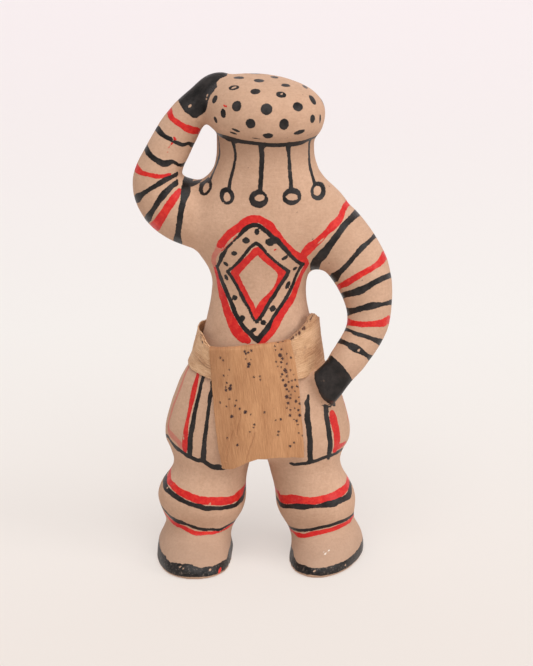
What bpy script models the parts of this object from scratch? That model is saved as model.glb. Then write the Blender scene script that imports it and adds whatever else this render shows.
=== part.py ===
"""A hand-modelled clay doll, fired and painted, dressed in two strips of bark.

Three pieces: the clay figure, a band of bark round its hips, and a bark apron folded over the band.
The doll faces -Y, stands on the plane z = 0 and has the middle of its bounding box over the origin.
The figure is drawn in units of its own height: it is FIGURE_UNITS units tall.
"""

import math

import bmesh
import bpy
from mathutils import Matrix, Vector

FIGURE_HEIGHT = 0.180
FIGURE_UNITS = 180.0
UNIT = FIGURE_HEIGHT / FIGURE_UNITS

BARK_THICKNESS = 0.0009
BARK_CLEARANCE = 0.0004
APRON_LIP = 0.0025
BAND_SIDES = 48
BAND_RISERS = 4
APRON_COLUMNS = 10

CLAY_VOXEL = 1.2 * UNIT
CLAY_SMOOTHING = 0.5
CLAY_SMOOTHING_STEPS = 6
CLAY_TRIANGLES_KEPT = 0.106
RING_SIDES = 40
STEPS_BETWEEN_STATIONS = 4

CLAY_COLOUR = (0.52, 0.36, 0.26, 1.0)
BARK_COLOUR = (0.50, 0.30, 0.15, 1.0)

# Horizontal sections in units: height, centre x, centre y, half-width, depth in front, depth behind.
TRUNK = (
    (161.0, 1.3, 1.0, 16.8, 14.0, 14.0),
    (157.0, 1.3, 1.0, 17.3, 14.5, 14.5),
    (151.0, 1.4, 1.0, 17.5, 14.5, 14.5),
    (147.5, 1.6, 1.0, 18.3, 14.8, 14.8),
    (144.5, 1.5, 1.0, 19.7, 15.2, 15.2),
    (141.5, 1.1, 1.0, 22.6, 15.6, 15.6),
    (138.0, 1.2, 1.0, 26.4, 16.1, 16.1),
    (134.0, 1.4, 1.0, 29.4, 16.5, 16.5),
    (129.0, 1.0, 0.8, 30.0, 16.9, 16.9),
    (123.0, 0.2, 0.6, 27.0, 16.9, 16.6),
    (116.0, -0.5, 0.5, 22.6, 15.9, 15.5),
    (110.0, -0.6, 0.5, 18.6, 14.8, 14.4),
    (104.0, -0.8, 0.5, 17.0, 14.0, 13.7),
    (98.0, -1.0, 0.5, 17.4, 14.2, 13.9),
    (91.0, -1.1, 0.5, 18.8, 15.1, 15.1),
    (84.0, -1.1, 0.5, 20.6, 16.3, 16.7),
    (77.0, -1.3, 0.5, 23.0, 17.8, 18.6),
    (70.0, -1.4, 0.5, 27.3, 19.2, 20.2),
    (63.0, -1.4, 0.5, 30.3, 20.0, 21.0),
    (57.0, -1.4, 0.5, 32.4, 20.4, 21.2),
    (51.0, -1.5, 0.5, 33.9, 20.4, 20.8),
    (47.0, -1.5, 0.5, 34.2, 19.6, 19.8),
    (43.5, -1.5, 0.5, 33.4, 17.6, 17.8),
    (41.0, -1.5, 0.5, 30.6, 14.0, 14.4),
    (39.5, -1.5, 0.5, 24.0, 8.5, 9.0),
)

RIGHT_LEG = (
    (52.0, -17.2, 0.5, 15.0, 15.5, 16.0),
    (46.0, -17.6, 0.5, 16.2, 17.0, 17.2),
    (41.0, -18.0, 0.5, 15.4, 16.2, 16.2),
    (37.0, -18.2, 0.3, 14.1, 15.0, 15.0),
    (33.0, -19.1, 0.0, 14.1, 14.8, 14.8),
    (28.5, -21.3, -0.5, 15.6, 15.8, 15.6),
    (24.0, -22.0, -0.8, 16.5, 16.6, 16.2),
    (19.5, -21.8, -0.8, 15.8, 16.2, 15.6),
    (15.5, -21.9, -0.6, 14.0, 14.4, 13.8),
    (12.5, -22.4, -0.6, 13.2, 14.2, 13.2),
    (9.0, -23.4, -0.4, 13.9, 18.6, 14.2),
    (5.0, -24.3, 0.0, 14.5, 25.8, 15.8),
    (1.5, -24.3, 0.4, 14.8, 28.8, 16.6),
    (-3.0, -24.3, 0.4, 14.2, 29.0, 16.4),
)

LEFT_LEG = (
    (52.0, 14.4, 0.5, 15.0, 15.5, 16.0),
    (46.0, 14.9, 0.5, 15.4, 17.0, 17.2),
    (41.0, 15.2, 0.5, 14.6, 16.2, 16.2),
    (37.0, 15.4, 0.3, 13.5, 15.0, 15.0),
    (33.0, 16.3, 0.0, 13.3, 14.4, 14.4),
    (28.5, 18.4, -0.5, 14.2, 15.2, 15.0),
    (24.0, 19.8, -0.8, 14.8, 16.0, 15.6),
    (19.5, 20.0, -0.8, 14.8, 15.8, 15.4),
    (15.5, 20.5, -0.6, 13.6, 14.4, 13.8),
    (12.5, 21.6, -0.6, 13.0, 14.2, 13.2),
    (9.0, 23.4, -0.4, 13.5, 18.2, 14.2),
    (5.0, 24.2, 0.0, 13.7, 24.8, 15.8),
    (1.5, 24.2, 0.4, 13.8, 27.8, 16.6),
    (-3.0, 24.2, 0.4, 13.3, 28.0, 16.4),
)
LEFT_FOOT_TURN = math.radians(-12.0)
FOOT_BEGINS = 16.0
RIGHT_FOOT_SQUARENESS = 0.45
LEFT_FOOT_SQUARENESS = 0.1

HEAD_CENTRE = (0.7, 0.5, 167.4)
HEAD_HALF_SIZE = (22.2, 18.8, 11.9)
HEAD_TILT = math.radians(8.0)
HEAD_SQUARENESS = 2.45

# Centre lines in units: x, y, z and the radius there, from the shoulder to the finger ends or the wrist.
RAISED_ARM = (
    (-8.0, 2.0, 127.0, 12.2),
    (-16.0, 2.0, 127.6, 12.3),
    (-23.0, 1.6, 128.8, 12.2),
    (-30.0, 1.0, 131.8, 11.8),
    (-35.0, 0.5, 136.4, 10.6),
    (-37.2, 0.2, 142.0, 9.2),
    (-35.5, 0.2, 148.5, 7.95),
    (-32.4, 0.8, 154.3, 7.65),
    (-29.3, 1.6, 159.9, 7.35),
    (-26.3, 2.2, 164.8, 6.7),
    (-23.4, 2.6, 168.0, 6.1),
    (-20.3, 2.8, 171.0, 5.8),
    (-17.2, 3.0, 174.1, 5.8),
    (-14.3, 3.0, 175.9, 5.1),
    (-11.8, 2.8, 176.6, 4.0),
)
AKIMBO_ARM = (
    (8.0, 2.0, 124.0, 12.2),
    (16.0, 2.0, 124.0, 12.8),
    (24.0, 1.2, 121.4, 13.8),
    (30.4, 0.4, 116.8, 11.7),
    (35.2, -0.8, 109.8, 10.8),
    (37.8, -2.2, 102.4, 9.7),
    (38.7, -4.0, 95.4, 8.3),
    (38.2, -6.0, 90.2, 7.7),
    (36.3, -8.2, 86.0, 7.1),
    (33.5, -10.6, 82.1, 6.8),
    (30.5, -12.4, 78.2, 6.6),
    (27.8, -12.8, 75.4, 6.0),
)

# The hand on the hip is a slab: its face, its widest outline and its back, in units, from the wrist round.
AKIMBO_HAND = (
    ((25.4, -17.0, 81.2), (19.4, -17.3, 75.3), (19.0, -17.3, 73.0), (22.8, -17.2, 65.8),
     (25.9, -16.2, 63.2), (33.0, -15.4, 72.8)),
    ((23.9, -13.6, 80.0), (16.7, -14.4, 72.6), (16.4, -13.6, 71.0), (20.9, -12.0, 63.4),
     (26.2, -11.4, 61.3), (34.0, -11.0, 72.0)),
    ((25.8, -10.8, 73.8), (18.8, -8.2, 70.2), (18.4, -6.5, 69.0), (22.0, -4.5, 64.2),
     (26.5, -4.5, 62.0), (31.8, -6.5, 69.4)),
)
HAND_ROUNDING = 0.9

# The band round the hips: angle in degrees (0 is +X, -90 the front), its lower edge, its upper edge and
# how far the upper edge stands off the body, all in units.
BAND = (
    (-90.0, 72.4, 86.5, 1.7),
    (-62.0, 73.2, 87.0, 1.6),
    (-42.0, 74.7, 88.8, 1.6),
    (-20.0, 76.8, 91.4, 2.0),
    (0.0, 77.5, 91.8, 2.2),
    (30.0, 77.0, 90.4, 1.5),
    (90.0, 76.6, 89.2, 1.2),
    (145.0, 76.0, 87.2, 1.2),
    (180.0, 75.5, 85.2, 1.4),
    (202.0, 74.6, 84.4, 2.2),
    (224.0, 72.7, 84.0, 3.0),
    (248.0, 72.2, 85.2, 2.4),
)

# The apron's left and right edges in units, from the fold down: x and z.
APRON_LEFT = ((-19.4, 84.6), (-18.4, 78.0), (-17.6, 70.0), (-16.6, 58.0), (-15.2, 46.0), (-14.0, 39.6))
APRON_RIGHT = ((10.2, 87.4), (11.6, 81.0), (13.0, 72.0), (14.2, 60.0), (15.0, 50.0), (15.3, 43.6))

# How far the hem is above the straight line between its corners: place across the apron, rise in units.
APRON_HEM = ((0.0, 0.0), (0.07, -0.3), (0.2, 0.3), (0.3, 1.5), (0.42, 2.3), (0.55, 2.3), (0.83, 1.2), (1.0, 0.0))


def clear_scene():
    for obj in list(bpy.data.objects):
        bpy.data.objects.remove(obj, do_unlink=True)


def collection_named(name):
    collection = bpy.data.collections.new(name)
    bpy.context.scene.collection.children.link(collection)
    return collection


def material_named(name, colour, roughness):
    material = bpy.data.materials.new(name)
    material.use_nodes = True
    shader = material.node_tree.nodes["Principled BSDF"]
    shader.inputs["Base Color"].default_value = colour
    shader.inputs["Roughness"].default_value = roughness
    shader.inputs["Metallic"].default_value = 0.0
    return material


def on_spline(stations, index, t):
    """The stations' values a share t of the way from one station to the next, on a Catmull-Rom spline."""
    before = stations[max(index - 1, 0)]
    here = stations[index]
    there = stations[index + 1]
    after = stations[min(index + 2, len(stations) - 1)]
    return tuple(
        0.5 * (2.0 * b + (c - a) * t + (2.0 * a - 5.0 * b + 4.0 * c - d) * t * t
               + (3.0 * b - a - 3.0 * c + d) * t ** 3)
        for a, b, c, d in zip(before, here, there, after)
    )


def smooth_run(stations, steps):
    """The stations with a smooth run of points between each two of them."""
    points = [
        on_spline(stations, index, step / steps)
        for index in range(len(stations) - 1)
        for step in range(steps)
    ]
    points.append(tuple(stations[-1]))
    return points


def smooth_value(stations, place):
    """The values at a place along stations that each begin with their own place."""
    for index, (here, there) in enumerate(zip(stations, stations[1:])):
        if here[0] <= place <= there[0]:
            values = [station[1:] for station in stations]
            return on_spline(values, index, (place - here[0]) / (there[0] - here[0]))
    return stations[-1][1:]


def section_point(section, angle, turn=0.0, squareness=0.0, outward=0.0):
    """A point on a horizontal section; angle 0 is +X, and -90 degrees the front."""
    height, centre_x, centre_y, half_width, front, behind = section
    depth = front if math.sin(angle) < 0.0 else behind
    power = 2.0 + squareness
    length = (abs(math.cos(angle)) ** power + abs(math.sin(angle)) ** power) ** (-1.0 / power)
    out = Vector((half_width * math.cos(angle), depth * math.sin(angle), 0.0)) * length
    out += Vector((math.cos(angle), math.sin(angle), 0.0)) * outward
    out.rotate(Matrix.Rotation(turn, 3, "Z"))
    return Vector((centre_x, centre_y, height)) + out


def trunk_section(height):
    """The trunk's section at a height in units, read between its stations."""
    for upper, lower in zip(TRUNK, TRUNK[1:]):
        if upper[0] >= height >= lower[0]:
            share = (upper[0] - height) / (upper[0] - lower[0])
            return tuple(a + (b - a) * share for a, b in zip(upper, lower))
    return TRUNK[0] if height > TRUNK[0][0] else TRUNK[-1]


def lofted(bm, rings):
    """Skins a stack of rings of equally many points and caps both ends."""
    stack = [[bm.verts.new(point) for point in ring] for ring in rings]
    for upper, lower in zip(stack, stack[1:]):
        for index in range(len(upper)):
            following = (index + 1) % len(upper)
            bm.faces.new((upper[index], upper[following], lower[following], lower[index]))
    bm.faces.new(stack[0])
    bm.faces.new(list(reversed(stack[-1])))


def ring_of(section, turn=0.0, squareness=0.0):
    angles = [2.0 * math.pi * side / RING_SIDES for side in range(RING_SIDES)]
    return [section_point(section, angle, turn, squareness) * UNIT for angle in angles]


def add_trunk(bm):
    lofted(bm, [ring_of(section) for section in smooth_run(TRUNK, STEPS_BETWEEN_STATIONS)])


def add_leg(bm, stations, foot_turn, foot_squareness):
    rings = []
    for section in smooth_run(stations, STEPS_BETWEEN_STATIONS):
        share = min(max((FOOT_BEGINS - section[0]) / FOOT_BEGINS, 0.0), 1.0)
        rings.append(ring_of(section, foot_turn * share, foot_squareness * share))
    lofted(bm, rings)


def add_head(bm):
    """The head is a flat bun: a sphere drawn out to a squarish ellipsoid and tilted."""
    made = bmesh.ops.create_uvsphere(bm, u_segments=40, v_segments=24, radius=1.0)
    tilt = Matrix.Rotation(HEAD_TILT, 3, "Y")
    for vert in made["verts"]:
        direction = vert.co.normalized()
        flat = math.hypot(direction.x, direction.y)
        length = (flat ** HEAD_SQUARENESS + abs(direction.z) ** HEAD_SQUARENESS)
        direction *= length ** (-1.0 / HEAD_SQUARENESS)
        shaped = Vector(a * b for a, b in zip(direction, HEAD_HALF_SIZE))
        vert.co = (Vector(HEAD_CENTRE) + tilt @ shaped) * UNIT


def add_arm(bm, stations):
    """A round tube along the arm's centre line, read from a curve with a bevel."""
    points = smooth_run(stations, STEPS_BETWEEN_STATIONS)
    curve = bpy.data.curves.new("arm_line", "CURVE")
    curve.dimensions = "3D"
    curve.bevel_depth = UNIT
    curve.bevel_resolution = 6
    curve.use_fill_caps = True
    spline = curve.splines.new("POLY")
    spline.points.add(len(points) - 1)
    for spot, (x, y, z, radius) in zip(spline.points, points):
        spot.co = (x * UNIT, y * UNIT, z * UNIT, 1.0)
        spot.radius = radius
    guide = bpy.data.objects.new("arm_line", curve)
    bpy.context.scene.collection.objects.link(guide)
    take_mesh(bm, guide)
    bpy.data.curves.remove(curve)


def take_mesh(bm, guide):
    """Adds the guide's evaluated mesh to bm, welded, and removes the guide."""
    bpy.context.view_layer.update()
    graph = bpy.context.evaluated_depsgraph_get()
    mesh = bpy.data.meshes.new_from_object(guide.evaluated_get(graph))
    mesh.transform(guide.matrix_world)
    bm.from_mesh(mesh)
    bmesh.ops.remove_doubles(bm, verts=bm.verts, dist=0.00001)
    bpy.data.objects.remove(guide)
    bpy.data.meshes.remove(mesh)


def add_hand(bm):
    """The slab of the hand pressed on the hip: its face, widest outline and back, skinned and rounded."""
    before = set(bm.verts)
    lofted(bm, [[Vector(corner) * UNIT for corner in outline] for outline in AKIMBO_HAND])
    edges = [edge for edge in bm.edges if not before.intersection(edge.verts)]
    bmesh.ops.bevel(
        bm, geom=edges, offset=HAND_ROUNDING * UNIT, segments=2, profile=0.5, affect="EDGES", clamp_overlap=True
    )


def ground_cutter(cutters):
    """A block whose top is the ground: it cuts both soles flat."""
    mesh = bpy.data.meshes.new("ground_cutter")
    bm = bmesh.new()
    bmesh.ops.create_cube(bm, size=FIGURE_HEIGHT)
    bmesh.ops.translate(bm, verts=bm.verts, vec=(0.0, 0.0, -FIGURE_HEIGHT / 2.0))
    bm.to_mesh(mesh)
    bm.free()
    cutter = bpy.data.objects.new("ground_cutter", mesh)
    cutter.hide_render = True
    cutter.display_type = "WIRE"
    cutters.objects.link(cutter)
    return cutter


def clay_figure(parts, cutters):
    """The figure: rough forms run together into one skin, smoothed as wet clay is."""
    bm = bmesh.new()
    add_trunk(bm)
    add_leg(bm, RIGHT_LEG, 0.0, RIGHT_FOOT_SQUARENESS)
    add_leg(bm, LEFT_LEG, LEFT_FOOT_TURN, LEFT_FOOT_SQUARENESS)
    add_head(bm)
    add_arm(bm, RAISED_ARM)
    add_arm(bm, AKIMBO_ARM)
    add_hand(bm)
    bmesh.ops.recalc_face_normals(bm, faces=bm.faces)
    mesh = bpy.data.meshes.new("clay_figure")
    bm.to_mesh(mesh)
    bm.free()
    figure = bpy.data.objects.new("clay_figure", mesh)
    parts.objects.link(figure)
    run_together = figure.modifiers.new("run_together", "REMESH")
    run_together.mode = "VOXEL"
    run_together.voxel_size = CLAY_VOXEL
    smoothed = figure.modifiers.new("smoothed", "SMOOTH")
    smoothed.factor = CLAY_SMOOTHING
    smoothed.iterations = CLAY_SMOOTHING_STEPS
    lighter = figure.modifiers.new("lighter", "DECIMATE")
    lighter.ratio = CLAY_TRIANGLES_KEPT
    soles = figure.modifiers.new("flat_soles", "BOOLEAN")
    soles.operation = "DIFFERENCE"
    soles.solver = "EXACT"
    soles.object = ground_cutter(cutters)
    figure.data.materials.append(material_named("fired_clay", CLAY_COLOUR, 0.8))
    return figure


def band_at(degrees):
    """The band's lower edge, upper edge and stand-off at an angle, on a closed smooth run."""
    first = [(angle - 360.0, *rest) for angle, *rest in BAND[-2:]]
    closed = first + list(BAND) + [(angle + 360.0, *rest) for angle, *rest in BAND[:2]]
    return smooth_value(closed, (degrees + 90.0) % 360.0 - 90.0)


def band_point(degrees, share, layer):
    """A point of the band: share 0 is its lower edge and 1 its upper; layer 0 its inside and 1 its outside."""
    bottom, top, stand_off = band_at(degrees)
    height = bottom + (top - bottom) * share
    outward = BARK_CLEARANCE / UNIT + stand_off * share + layer * BARK_THICKNESS / UNIT
    return section_point(trunk_section(height), math.radians(degrees), outward=outward)


def solid_from(name, bm, parts, material):
    bmesh.ops.recalc_face_normals(bm, faces=bm.faces)
    mesh = bpy.data.meshes.new(name)
    bm.to_mesh(mesh)
    bm.free()
    solid = bpy.data.objects.new(name, mesh)
    solid.data.materials.append(material)
    parts.objects.link(solid)
    return solid


def bark_waistband(parts, bark):
    """One strip of bark closed to a ring: it grips the hips below and stands off the waist above."""
    bm = bmesh.new()
    rings = []
    for side in range(BAND_SIDES):
        degrees = 360.0 * side / BAND_SIDES
        outside = [band_point(degrees, step / BAND_RISERS, 1.0) for step in range(BAND_RISERS + 1)]
        inside = [band_point(degrees, step / BAND_RISERS, 0.0) for step in range(BAND_RISERS, -1, -1)]
        rings.append([bm.verts.new(point * UNIT) for point in outside + inside])
    for here, there in zip(rings, rings[1:] + rings[:1]):
        for index in range(len(here)):
            following = (index + 1) % len(here)
            bm.faces.new((here[index], here[following], there[following], there[index]))
    return solid_from("bark_waistband", bm, parts, bark)


def band_front(x, height, layer):
    """The point of the band's front nearest to x at a height."""
    nearest = None
    for degrees in range(-170, -9):
        bottom, top, _ = band_at(degrees)
        share = min(max((height - bottom) / (top - bottom), 0.0), 1.0)
        point = band_point(degrees, share, layer)
        if nearest is None or abs(point.x - x) < abs(nearest.x - x):
            nearest = point
    return nearest


def trunk_front(x, height, outward):
    """The front of the trunk grown outward, at x and a height, as a y in units."""
    _, centre_x, centre_y, half_width, front, _ = trunk_section(height)
    share = (x - centre_x) / (half_width + outward)
    return centre_y - (front + outward) * math.sqrt(max(1.0 - share * share, 0.0))


def apron_path(across):
    """The middle of the apron's thickness at a place across it, from the lip inside the band to the hem."""
    gap = (BARK_CLEARANCE + BARK_THICKNESS / 2.0) / UNIT
    layers = (BARK_CLEARANCE + BARK_THICKNESS / 2.0) / BARK_THICKNESS
    edge = [
        (left[0] + (right[0] - left[0]) * across, left[1] + (right[1] - left[1]) * across)
        for left, right in zip(APRON_LEFT, APRON_RIGHT)
    ]
    x = edge[0][0]
    inside = band_front(x, math.inf, -layers)
    outside = band_front(x, math.inf, 1.0 + layers)
    fold = max(inside.z, outside.z) + gap
    points = [
        Vector((x, inside.y, fold - APRON_LIP / UNIT)),
        Vector((x, inside.y, fold - 0.5 * gap)),
        Vector((x, (inside.y + outside.y) / 2.0, fold)),
        Vector((x, outside.y, fold - 0.5 * gap)),
    ]
    run = smooth_run([(z, x) for x, z in edge], 2)
    top, hem = run[0][0], run[-1][0]
    rise = smooth_value(APRON_HEM, across)[0]
    depth = outside.y
    for z, x in run[1:]:
        share = (top - z) / (top - hem)
        z += (fold - 0.5 * gap - top) * max(0.0, 1.0 - 2.5 * share) + rise * share ** 3
        lowest_of_band = band_at(-90.0)[0] - gap
        if z > lowest_of_band:
            depth = min(depth, band_front(x, z, 1.0 + layers).y)
        depth = min(depth, trunk_front(x, z, gap))
        points.append(Vector((x, depth, z)))
    return points


def bark_apron(parts, bark):
    """A straight piece of bark folded over the band's upper edge, hanging down the front."""
    bm = bmesh.new()
    columns = [apron_path(step / APRON_COLUMNS) for step in range(APRON_COLUMNS + 1)]
    grid = [[bm.verts.new(point * UNIT) for point in column] for column in columns]
    for here, there in zip(grid, grid[1:]):
        for index in range(len(here) - 1):
            bm.faces.new((here[index], here[index + 1], there[index + 1], there[index]))
    apron = solid_from("bark_apron", bm, parts, bark)
    thickness = apron.modifiers.new("thickness", "SOLIDIFY")
    thickness.thickness = BARK_THICKNESS
    thickness.offset = 0.0
    return apron


def centre_over_origin(objects):
    """Moves everything level so that the middle of the pieces' bounding box is over the origin."""
    bpy.context.view_layer.update()
    graph = bpy.context.evaluated_depsgraph_get()
    corners = [
        obj.matrix_world @ Vector(corner)
        for obj in objects if not obj.hide_render
        for corner in obj.evaluated_get(graph).bound_box
    ]
    middle = Vector([(min(c[axis] for c in corners) + max(c[axis] for c in corners)) / 2.0 for axis in (0, 1)])
    for obj in objects:
        obj.location -= middle.to_3d()


def main():
    clear_scene()
    parts = collection_named("clay_doll")
    cutters = collection_named("cutters")
    clay_figure(parts, cutters)
    bark = material_named("bark", BARK_COLOUR, 0.75)
    bark_waistband(parts, bark)
    bark_apron(parts, bark)
    centre_over_origin(list(parts.objects) + list(cutters.objects))


main()
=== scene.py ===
"""Dresses the packed clay doll: brushed clay skin, painted marks, a bark waistband and a bark apron."""

import math

import bpy
import numpy as np
from bpy.props import FloatProperty, FloatVectorProperty, PointerProperty
from bpy.types import Operator, Panel, PropertyGroup
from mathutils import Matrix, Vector, noise
from mathutils.bvhtree import BVHTree
from mathutils.kdtree import KDTree


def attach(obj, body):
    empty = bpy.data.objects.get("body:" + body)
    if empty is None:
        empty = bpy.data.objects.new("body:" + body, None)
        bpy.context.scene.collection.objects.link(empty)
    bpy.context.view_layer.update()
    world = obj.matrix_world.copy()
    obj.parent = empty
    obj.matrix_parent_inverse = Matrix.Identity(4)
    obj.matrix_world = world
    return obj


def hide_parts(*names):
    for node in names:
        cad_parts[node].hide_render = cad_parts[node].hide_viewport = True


bl_info = {
    "name": "Painted Clay Doll",
    "version": (1, 0, 0),
    "blender": (4, 5, 0),
    "location": "View3D > Sidebar > Clay Doll",
    "description": "Models a painted clay doll dressed in two strips of bark",
    "category": "Add Mesh",
}

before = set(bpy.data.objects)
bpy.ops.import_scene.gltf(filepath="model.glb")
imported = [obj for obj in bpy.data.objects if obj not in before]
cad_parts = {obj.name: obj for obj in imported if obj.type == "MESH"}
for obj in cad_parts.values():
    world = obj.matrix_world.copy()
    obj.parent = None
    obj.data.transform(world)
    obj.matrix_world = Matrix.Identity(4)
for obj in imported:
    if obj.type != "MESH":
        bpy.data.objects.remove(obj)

# Every table below is in millimetres of the shared frame: the doll faces -Y and stands on z = 0.
MM = 0.001

# Paint is stored as millimetres inside the stroke, cut off at this many on either side of its edge.
PAINT_RANGE = 3.0

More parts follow.
